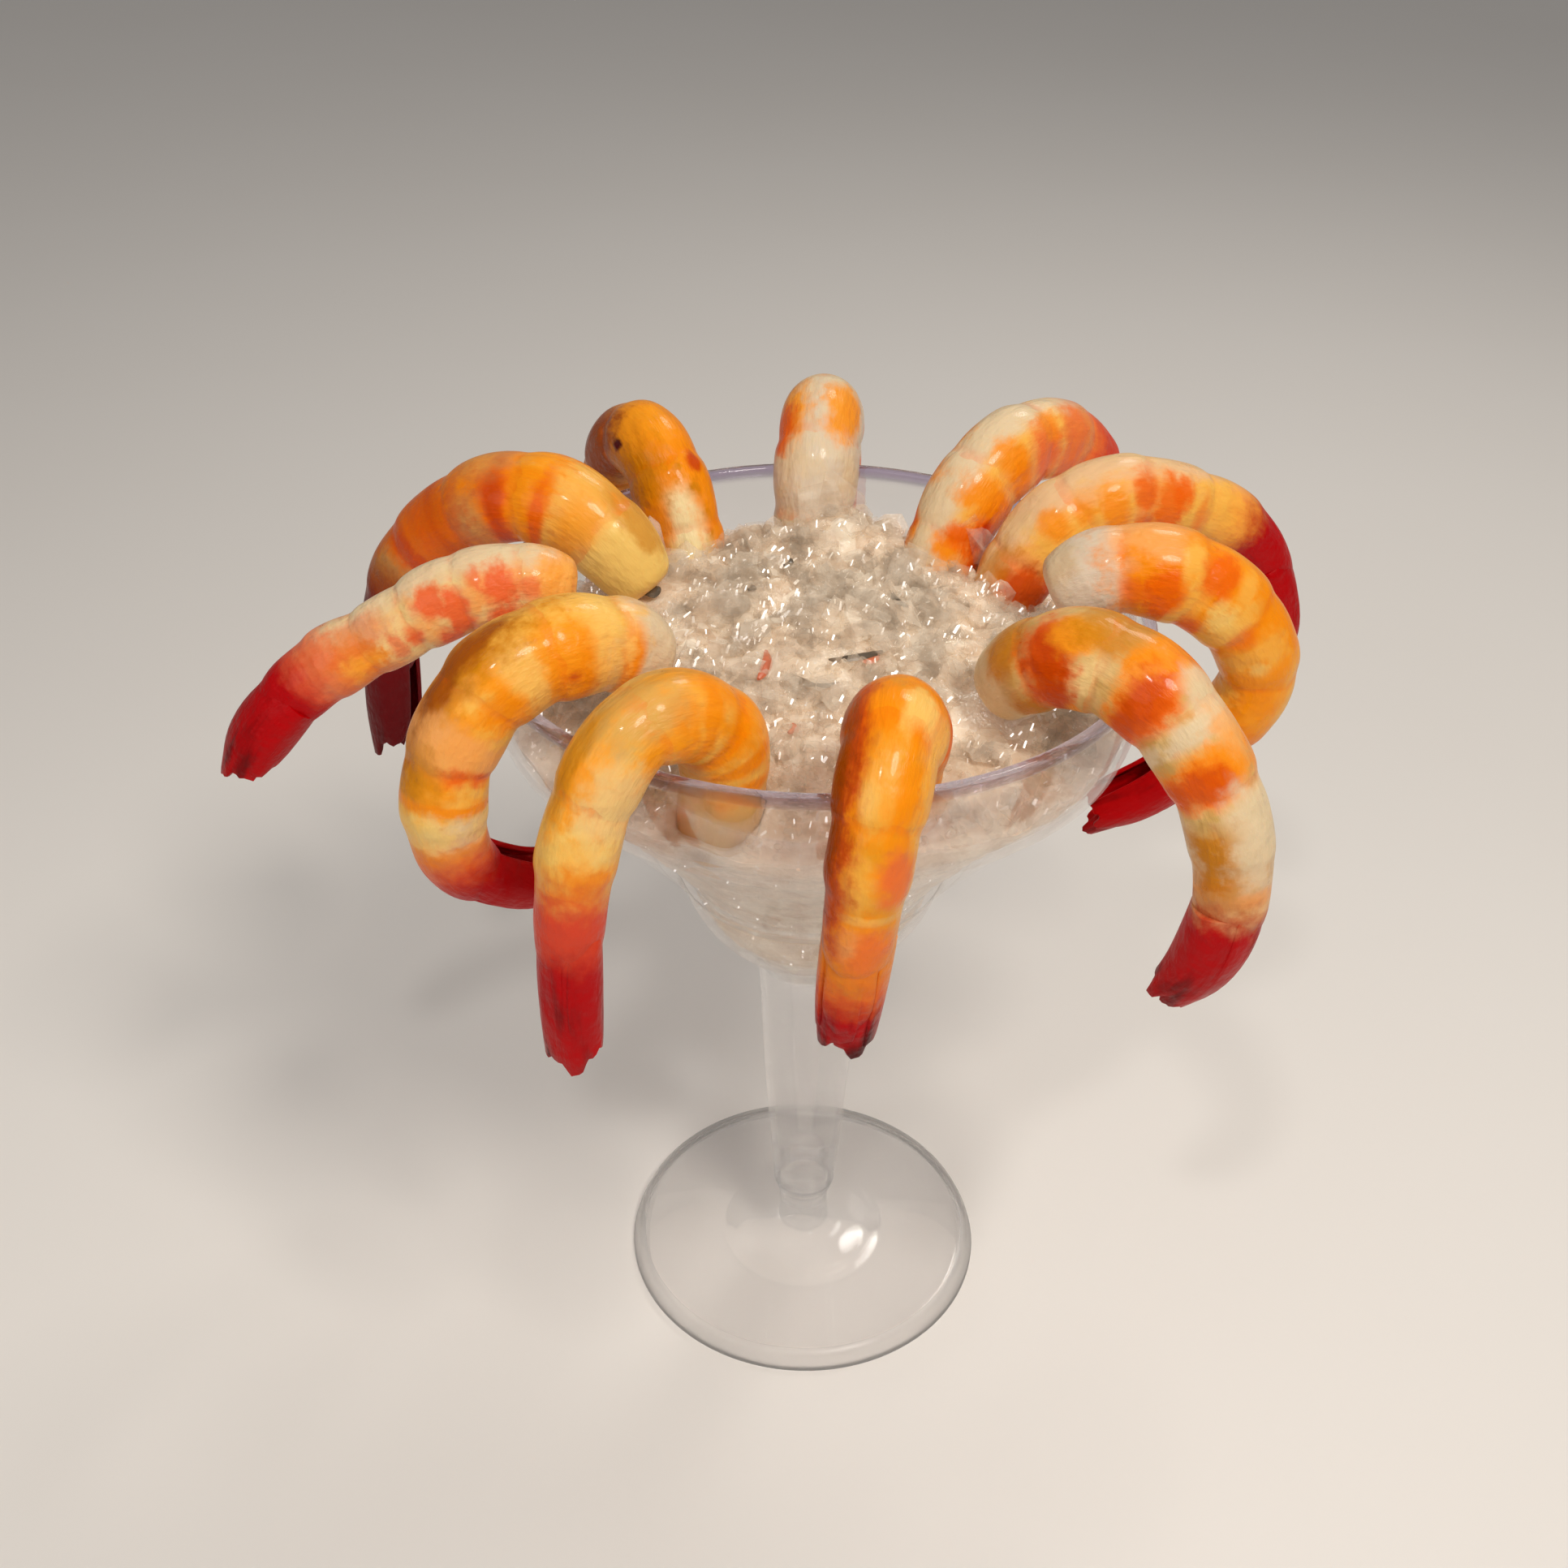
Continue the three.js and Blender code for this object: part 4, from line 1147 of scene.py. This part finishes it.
LOOKS = {
    "prawn_01": look(1, base=CREAM, second=PEACH, ridge=0.85, tail_at=0.665, darkens=1.0,
        blotches=(
        (4, 45, 6, 100, 70, AMBER), (11, 70, 2, 30, 70, SALMON), (17, 62, 4, 50, 95, SALMON),
        (22, 45, 1.5, 30, 70, SALMON), (27, 76, 3, 40, 95, SALMON), (32, 54, 3.5, 42, 95, SALMON),
        (38.5, 95, 2.2, 35, 95, SALMON), (43, 86, 2, 30, 70, SALMON), (50, 110, 5, 50, 80, ORANGE),
        (54, 84, 6, 60, 85, AMBER), (52, 45, 9, 50, 50, ROSE), (62, 65, 5, 120, 60, SALMON))),
    "prawn_02": look(2, base=AMBER, second=ORANGE, bands=0.3, tail_at=0.61, flush=BROWN,
        tail=MAROON, darkens=1.2, blotches=(
        (5, 80, 12, 300, 100, BUTTER), (10, 8, 7, 30, 70, OCHRE), (17, 60, 3, 120, 60, HONEY),
        (21.5, 85, 1.4, 90, 90, TANGERINE), (15, 68, 3, 70, 70, AMBER),
        (28.5, 70, 2.4, 150, 95, TANGERINE), (28.5, 80, 1.4, 110, 90, RUST),
        (41, 60, 1, 120, 80, RUST), (31, 8, 5, 50, 50, KHAKI), (34.5, 90, 3.6, 70, 90, KHAKI),
        (40, 60, 3, 120, 60, OCHRE), (45, 75, 13, 160, 70, RUST), (50, 76, 2.2, 80, 90, RUST),
        (56, 72, 4, 60, 80, KHAKI), (61, 105, 7, 90, 85, BROWN))),
    "prawn_03": look(3, base=AMBER, second=OCHRE, mirrored=False, blotches=(
        # the ivory patch at 14 along, -22 degrees is a painted highlight on a brightly lit spot
        (7, -25, 5, 100, 90, BUTTER), (14, -22, 6, 55, 95, IVORY_HIGHLIGHT), (20, 32, 13, 60, 90, ORANGE),
        (24, 18, 1.8, 20, 95, RUST), (16, -70, 5, 50, 90, ORANGE), (26, -32, 5, 50, 80, ORANGE),
        # the brown patch at 44 along, -80 degrees is painted shade on the flank turned from the
        # light
        (28, -76, 8, 70, 90, OCHRE), (34, -30, 5, 80, 60, AMBER), (44, -80, 9, 120, 95, BROWN),
        (33, -72, 1.2, 16, 100, WINE))),
    "prawn_04": look(4, base=MILK, second=PALE, bands=0.9, bands_from=0.46, mirrored=False,
        blotches=(
        (29, -48, 6, 60, 95, AMBER), (26.5, -58, 4, 45, 95, TANGERINE), (30, 38, 5, 50, 95, AMBER),
        (30, 46, 2.5, 30, 40, ORANGE), (41, 0, 5, 130, 80, AMBER))),
    "prawn_05": look(5, base=HONEY, second=PEACH, ridge=0.95, tail_at=0.53, flush=SALMON,
        tail=ROSE, darkens=0.9, blotches=(
        (12, 42, 2.2, 40, 95, ORANGE), (15, 92, 6, 50, 95, TANGERINE),
        (16, 105, 5, 35, 90, CRIMSON), (14, 52, 2, 40, 90, TANGERINE),
        (21.5, 74, 2.8, 90, 90, ORANGE), (29, 62, 2.4, 60, 85, ORANGE),
        (30, 88, 2, 50, 70, ORANGE), (37, 82, 3.4, 70, 80, SALMON),
        (38.5, 52, 1.6, 40, 60, ORANGE), (45, 70, 3.4, 80, 75, SALMON))),
    "prawn_06": look(6, base=HONEY, second=PEACH, ridge=0.6, tail_at=0.6, flush=AMBER,
        flush_amount=0.6, darkens=1.0, blotches=(
        (10, 72, 4, 80, 95, RUST), (11, 24, 4, 40, 60, OCHRE), (21.5, 50, 2, 40, 80, ORANGE),
        (26, 60, 1.4, 30, 70, ORANGE), (31, 75, 2.4, 60, 80, ORANGE),
        (37, 60, 1.9, 55, 85, TANGERINE), (41.5, 74, 2.6, 80, 85, TANGERINE),
        (44, 52, 2.2, 40, 90, TANGERINE), (49.5, 80, 1.4, 50, 60, TANGERINE),
        (54, 66, 4, 90, 70, HONEY))),
    "prawn_07": look(7, base=AMBER, second=ORANGE, tail_at=0.7, blotches=(
        (2, 60, 10.5, 300, 100, MILK), (2, 20, 5, 60, 40, KHAKI), (19, 36, 6, 60, 70, ORANGE),
        (18, 82, 5, 50, 70, ORANGE), (20, 78, 3.5, 40, 90, TANGERINE),
        (14.5, 90, 2, 40, 70, TANGERINE), (18, 16, 5, 50, 80, PEACH),
        (23.5, 40, 1.6, 50, 80, HONEY), (26, 70, 1.8, 60, 60, HONEY),
        (28, 44, 2.8, 50, 90, TANGERINE), (33, 102, 4.5, 50, 90, BUTTER),
        (35.5, 66, 1.8, 50, 70, HONEY), (40, 28, 4, 60, 70, ORANGE), (33, 42, 1.8, 40, 60, HONEY),
        (43, 66, 3, 50, 60, HONEY), (38.5, 88, 2, 30, 60, TANGERINE), (46, 96, 2, 30, 70, BUTTER),
        (52, 62, 4.5, 80, 70, ORANGE), (54, 20, 6, 50, 70, HONEY))),
    "prawn_08": look(8, base=CREAM, second=KHAKI, tail_at=0.71, flush_amount=0.25, darkens=1.0,
        blotches=(
        (3, 60, 7, 300, 60, PALE), (10.5, 40, 3.5, 70, 90, OCHRE),
        (18, 66, 4.5, 85, 95, TANGERINE), (19, 64, 3.6, 65, 90, RUST), (22, 34, 3, 40, 90, AMBER),
        (26, 12, 5, 50, 80, OCHRE), (32.5, 40, 4, 120, 90, ORANGE),
        (34.5, 72, 3.6, 90, 95, TANGERINE), (33.5, 72, 2.8, 65, 75, RUST),
        (41, 30, 2, 100, 90, PALE), (37.5, 4, 3, 40, 80, PALE), (45, 8, 5, 45, 80, PEACH),
        (48, 50, 4.5, 80, 95, ORANGE), (49, 68, 3.4, 60, 90, TANGERINE),
        (49, 66, 2.6, 50, 60, RUST), (56, 20, 5, 70, 90, PALE), (62, 80, 6.5, 75, 95, OCHRE),
        (63, 106, 6, 60, 95, OCHRE), (62, 20, 6, 60, 90, PALE), (68.5, 22, 1.4, 60, 70, PEACH))),
    "prawn_09": look(9, base=MARIGOLD, second=ORANGE, tail_at=0.85, mirrored=False, darkens=1.8,
        flush=ROSE, flush_amount=0.75, blotches=(
        (25, -75, 7, 80, 90, TANGERINE), (29, 0, 3, 150, 70, ORANGE), (37, -65, 5, 50, 80, PEACH),
        (36, -26, 2.5, 35, 70, BUTTER), (46, 0, 6, 35, 50, HONEY), (48, 10, 3, 20, 40, BUTTER),
        (45, -45, 4, 40, 85, ORANGE), (53, -75, 20, 40, 70, HONEY), (58, -45, 5, 50, 80, SALMON),
        (60, 10, 5, 40, 60, HONEY), (65.5, -5, 1, 80, 40, BUTTER), (73, -20, 6, 80, 70, SALMON),
        # the rust patches at 58 degrees and the brown one at 72 are painted shade on the flank
        # turned from the light
        (71, 14, 5, 35, 80, PEACH), (40, 58, 15, 60, 95, RUST), (62, 58, 18, 60, 95, RUST),
        (50, 72, 25, 50, 90, BROWN))),
    "prawn_10": look(10, base=HONEY, second=AMBER, tail_at=0.75, flush_amount=1.0, flush_from=0.6,
        blotches=(
        (5, 90, 7, 250, 90, KHAKI), (16, 96, 1.2, 80, 95, ORANGE), (20.5, 84, 1.3, 90, 95, ORANGE),
        (25.5, 72, 1.4, 90, 95, ORANGE), (30.5, 58, 1.4, 80, 90, ORANGE),
        (34.5, 60, 2.2, 50, 80, ORANGE), (33, 104, 1.2, 40, 80, ORANGE),
        # the ochre patch along the back at 45 is painted shade on the edge turned from the light
        (28, 20, 5, 40, 70, ORANGE), (39, 92, 2.5, 40, 70, AMBER), (45, 0, 13, 28, 80, OCHRE),
        (46, 40, 5, 30, 60, AMBER), (50, 76, 7, 70, 75, CREAM), (38, 34, 4.5, 60, 60, KHAKI),
        (57, 60, 3, 120, 50, BUTTER))),
    "prawn_11": look(11, base=AMBER, second=HONEY, tail_at=0.715, blotches=(
        (2, 60, 10, 300, 100, PALE), (12, 90, 2, 80, 95, ORANGE), (16, 60, 3.5, 150, 60, BUTTER),
        (24, 80, 4.2, 80, 90, ORANGE), (24, 100, 1.4, 30, 90, RUST), (25, 50, 3, 60, 70, AMBER),
        # the ochre and brown patches along the back at 40 are painted shade on the edge turned
        # from the light
        (31, 70, 2.8, 120, 60, BUTTER), (37, 96, 4.2, 60, 90, ORANGE), (40, 5, 16, 50, 90, OCHRE),
        (40, 0, 12, 30, 80, BROWN), (47, 70, 4, 120, 80, PEACH), (51, 76, 1.8, 40, 90, TANGERINE),
        (53, 20, 4, 50, 60, OCHRE), (57.2, 70, 1, 140, 90, ORANGE), (62, 82, 3.2, 80, 95, PALE),
        (62, 40, 3.2, 80, 80, BUTTER))),
}


# ---- stage ----

# name, place in metres, height aimed at, size, share of the key light's power, colour
LIGHTS = (
    ("key", (0.27, -0.38, 0.74), 0.13, 0.2, 1.0, (1, 0.95, 0.87)),
    ("back", (0.25, 0.45, 0.70), 0.13, 0.2, 0.4, (1, 0.96, 0.9)),
    ("fill", (-0.45, -0.55, 0.45), 0.10, 0.5, 0.3, (1, 0.97, 0.93)),
    ("sparkle", (-0.10, -0.42, 0.72), 0.14, 0.05, 0.2, (1, 0.98, 0.94)),
)
# metres from the glass's axis at table level; degrees down, to the side and askew
CAMERA_PLACE = (0, -0.2751, 0.3091)
CAMERA_TURNS = (34.67, -1.10, 0.70)
CAMERA_SENSOR = 36.0
CAMERA_LENS_SHARE = 2265.8 / 1932


def pale_floor_finish():
    finish = Finish("pale_floor")
    place = finish.place()
    colour = finish.mix(finish.noise(place, 6, 3), srgb(240, 234, 228), srgb(243, 238, 233))
    return finish.done({"Base Color": colour, "Roughness": 0.6})


def add_light(name, place, aim, size, power, colour):
    """A round soft light in metres and watts. aim: the height on the axis that it faces."""
    data = bpy.data.lights.new(name, "AREA")
    data.shape = "DISK"
    data.size = size
    data.energy = power
    data.color = colour
    light = added(name, data)
    light.location = place
    way = Vector((0, 0, aim)) - Vector(place)
    light.rotation_euler = way.to_track_quat("-Z", "Y").to_euler()


def add_camera():
    """A camera above and in front, looking down at the glass a little askew."""
    pitch, yaw, roll = [math.radians(turn) for turn in CAMERA_TURNS]
    forward = Vector((math.sin(yaw) * math.cos(pitch), math.cos(yaw) * math.cos(pitch),
                      -math.sin(pitch)))
    level = Vector((math.cos(yaw), -math.sin(yaw), 0))
    rise = level.cross(forward)
    right = level * math.cos(roll) + rise * math.sin(roll)
    up = rise * math.cos(roll) - level * math.sin(roll)
    data = bpy.data.cameras.new("camera")
    data.sensor_width = CAMERA_SENSOR
    data.lens = CAMERA_SENSOR * CAMERA_LENS_SHARE
    camera = added("camera", data)
    turn = Matrix((right, up, -forward)).transposed().to_4x4()
    camera.matrix_world = Matrix.Translation(AXIS + Vector(CAMERA_PLACE)) @ turn
    bpy.context.scene.camera = camera


# ---- add-on ----

class GlassSettings(bpy.types.PropertyGroup):
    tint: FloatVectorProperty(
        name="Plastic", description="Tint of the clear plastic", subtype="COLOR",
        default=(0.93, 0.905, 0.90))
    lip_tint: FloatVectorProperty(
        name="Lip", description="Tint of the plastic in its thick lip", subtype="COLOR",
        default=srgb(170, 154, 186))


class IceSettings(bpy.types.PropertyGroup):
    packed: FloatVectorProperty(
        name="Packed", description="Colour of the packed ice", subtype="COLOR",
        default=srgb(218, 192, 164))
    pale: FloatVectorProperty(
        name="Pale", description="Colour of cloudy ice", subtype="COLOR",
        default=srgb(248, 232, 210))
    # the colour of the painted shade in the gaps between pieces
    shade: FloatVectorProperty(
        name="Gaps", description="Colour in the gaps between pieces", subtype="COLOR",
        default=srgb(170, 142, 116))
    clear: FloatVectorProperty(
        name="Clear", description="Tint of clear ice", subtype="COLOR",
        default=srgb(238, 214, 186))
    grains: IntProperty(name="Grains", description="Number of small grains", default=700, min=0)
    chips: IntProperty(name="Chips", description="Number of loose chips", default=800, min=0)
    chunks: IntProperty(name="Chunks", description="Number of large chunks", default=70, min=0)
    glints: IntProperty(
        name="Glints", description="Number of bright splinters", default=760, min=0)
    wall_glints: IntProperty(
        name="Wall glints", description="Number of bright splinters at the wall", default=640,
        min=0)
    seed: IntProperty(name="Seed", description="Start of the random draws", default=17)


class PrawnSettings(bpy.types.PropertyGroup):
    unevenness: FloatProperty(
        name="Unevenness", description="How far the flesh is pushed in and out",
        default=0.55 * MM, unit="LENGTH")
    seed: IntProperty(name="Seed", description="Start of the random draws", default=5)


class StageSettings(bpy.types.PropertyGroup):
    key_power: FloatProperty(
        name="Key light", description="Power of the key light in watts", default=3.3)
    sky: FloatProperty(name="Sky", description="Strength of the even light", default=0.235)


class CocktailSettings(bpy.types.PropertyGroup):
    glass: PointerProperty(type=GlassSettings)
    ice: PointerProperty(type=IceSettings)
    prawns: PointerProperty(type=PrawnSettings)
    stage: PointerProperty(type=StageSettings)


class COCKTAIL_OT_glass(bpy.types.Operator):
    """Turn the clear bowl with its stem, and the foot that plugs it"""
    bl_idname = "cocktail.glass"
    bl_label = "Glass"

    def execute(self, context):
        plastic = clear_plastic()
        bowl = turned("clear_bowl", bowl_rings(), GLASS_SIDES)
        smooth(bowl, 40)
        dress(bowl, plastic, "glass_bowl")
        foot = turned("clear_foot", foot_rings(), GLASS_SIDES)
        smooth(foot, 40)
        dress(foot, plastic, "glass_foot")
        return {"FINISHED"}


class COCKTAIL_OT_prawns(bpy.types.Operator):
    """Model a straight prawn once, then copy, curl and colour it for each place on the rim"""
    bl_idname = "cocktail.prawns"
    bl_label = "Prawns"

    def execute(self, context):
        settings = context.scene.cocktail.prawns
        rng = random.Random(settings.seed)
        body = straight_body()
        remember_straight(body)
        modifier(body, "SUBSURF", levels=1, render_levels=1)
        apply_modifiers(body)
        flesh = unevenness("flesh", "CLOUDS", 0.007)
        flesh.noise_depth = 2
        for name, prawn in PRAWNS.items():
            tail = straight_tail(rng, prawn["fan"], prawn["flare"], prawn["point"])
            remember_straight(tail)
            whole = copy_of(body, name + "_cooked")
            fatten(whole, prawn["rear"], prawn["belly"])
            bend(whole, prawn)
            modifier(whole, "DISPLACE", texture=flesh, texture_coords="GLOBAL",
                     strength=settings.unevenness, mid_level=0.5)
            modifier(whole, "SUBSURF", levels=1, render_levels=1)
            apply_modifiers(whole)
            bend(tail, prawn)
            focus(whole, tail)
            bpy.ops.object.join()
            smooth(whole, 50)
            dress(whole, prawn_finish(name + "_flesh", LOOKS[name]), name)
        discard(body)
        return {"FINISHED"}


class COCKTAIL_OT_ice(bpy.types.Operator):
    """Fill the glass with packed ice and heap loose grains, chips and chunks over it"""
    bl_idname = "cocktail.ice"
    bl_label = "Crushed ice"

    def execute(self, context):
        settings = context.scene.cocktail.ice
        rng = random.Random(settings.seed)
        core = ice_core()
        carve(core, [bpy.data.objects[name + "_cooked"] for name in PRAWNS])
        smooth(core, 35)
        dress(core, packed_ice_finish(), "crushed_ice")
        shapes = ice_chip_shapes(9, rng)
        beads = prawn_beads()
        for kind, small, large, lift, thin, thick in LOOSE_ICE:
            places = loose_places(getattr(settings, kind), small, large, lift, rng, beads)
            if kind == "chunks":
                places += [(tuple(over_table(*spot)), size * MM, random_turn(rng))
                           for *spot, size in ICE_SLABS]
            piece = scattered("ice_" + kind, shapes, places, rng)
            dress(piece, loose_ice_finish(piece.name, thin, thick), "crushed_ice")
        slant_x, slant_y = [math.radians(slant) for slant in SPLINTER_SLANT]
        slant = np.array(Matrix.Rotation(slant_x, 3, "X") @ Matrix.Rotation(slant_y, 3, "Y"))
        tilt_y, tilt_x = SPLINTER_TILT
        glints = []
        spots = loose_places(settings.glints, *SPLINTER_SIZES, SPLINTER_LIFT, rng, beads)
        spots += clustered_places(rng) + wall_places(settings.wall_glints, rng, beads)
        for centre, size, _ in spots:
            tilt = Matrix.Rotation(rng.gauss(0, tilt_y), 3, "Y")
            tilt = tilt @ Matrix.Rotation(rng.gauss(0, tilt_x), 3, "X")
            thin = rng.uniform(*SPLINTER_THIN)
            stretch = np.diag((thin, thin, SPLINTER_LONG))
            glints.append((centre, size, slant @ np.array(tilt) @ stretch))
        # the splinters glow as painted glints
        splinters = scattered("ice_splinters", shapes, glints, rng)
        dress(splinters, glint_finish(), "crushed_ice")
        dress(scraps_and_shade_slips(), scrap_and_shade_finish(), "crushed_ice")
        return {"FINISHED"}


class COCKTAIL_OT_stage(bpy.types.Operator):
    """Lay the pale floor and set up the lights and the camera"""
    bl_idname = "cocktail.stage"
    bl_label = "Stage"

    def execute(self, context):
        settings = context.scene.cocktail.stage
        deselect()
        bpy.ops.mesh.primitive_plane_add(size=6.0)
        floor = context.object
        floor.name = "floor"
        floor.data.materials.append(pale_floor_finish())
        for name, place, aim, size, share, colour in LIGHTS:
            add_light(name, place, aim, size, settings.key_power * share, colour)
        world = bpy.data.worlds.new("sky")
        world.use_nodes = True
        background = world.node_tree.nodes["Background"]
        background.inputs["Color"].default_value = (1.0, 0.985, 0.97, 1.0)
        background.inputs["Strength"].default_value = settings.sky
        context.scene.world = world
        context.scene.view_settings.view_transform = "Standard"
        add_camera()
        return {"FINISHED"}


class COCKTAIL_PT_panel(bpy.types.Panel):
    """Lists the pieces of the prawn cocktail"""
    bl_idname = "COCKTAIL_PT_panel"
    bl_label = "Prawn Cocktail"
    bl_space_type = "VIEW_3D"
    bl_region_type = "UI"
    bl_category = "Prawn Cocktail"

    def draw(self, context):
        for operator in OPERATORS:
            self.layout.operator(operator.bl_idname)


OPERATORS = (COCKTAIL_OT_glass, COCKTAIL_OT_prawns, COCKTAIL_OT_ice, COCKTAIL_OT_stage)
CLASSES = (GlassSettings, IceSettings, PrawnSettings, StageSettings, CocktailSettings,
           *OPERATORS, COCKTAIL_PT_panel)


def register():
    for cls in CLASSES:
        bpy.utils.register_class(cls)
    bpy.types.Scene.cocktail = PointerProperty(type=CocktailSettings)


def unregister():
    del bpy.types.Scene.cocktail
    for cls in reversed(CLASSES):
        bpy.utils.unregister_class(cls)


def main():
    register()
    bpy.ops.cocktail.glass()
    bpy.ops.cocktail.prawns()
    bpy.ops.cocktail.ice()
    bpy.ops.cocktail.stage()


if __name__ == "__main__":
    main()
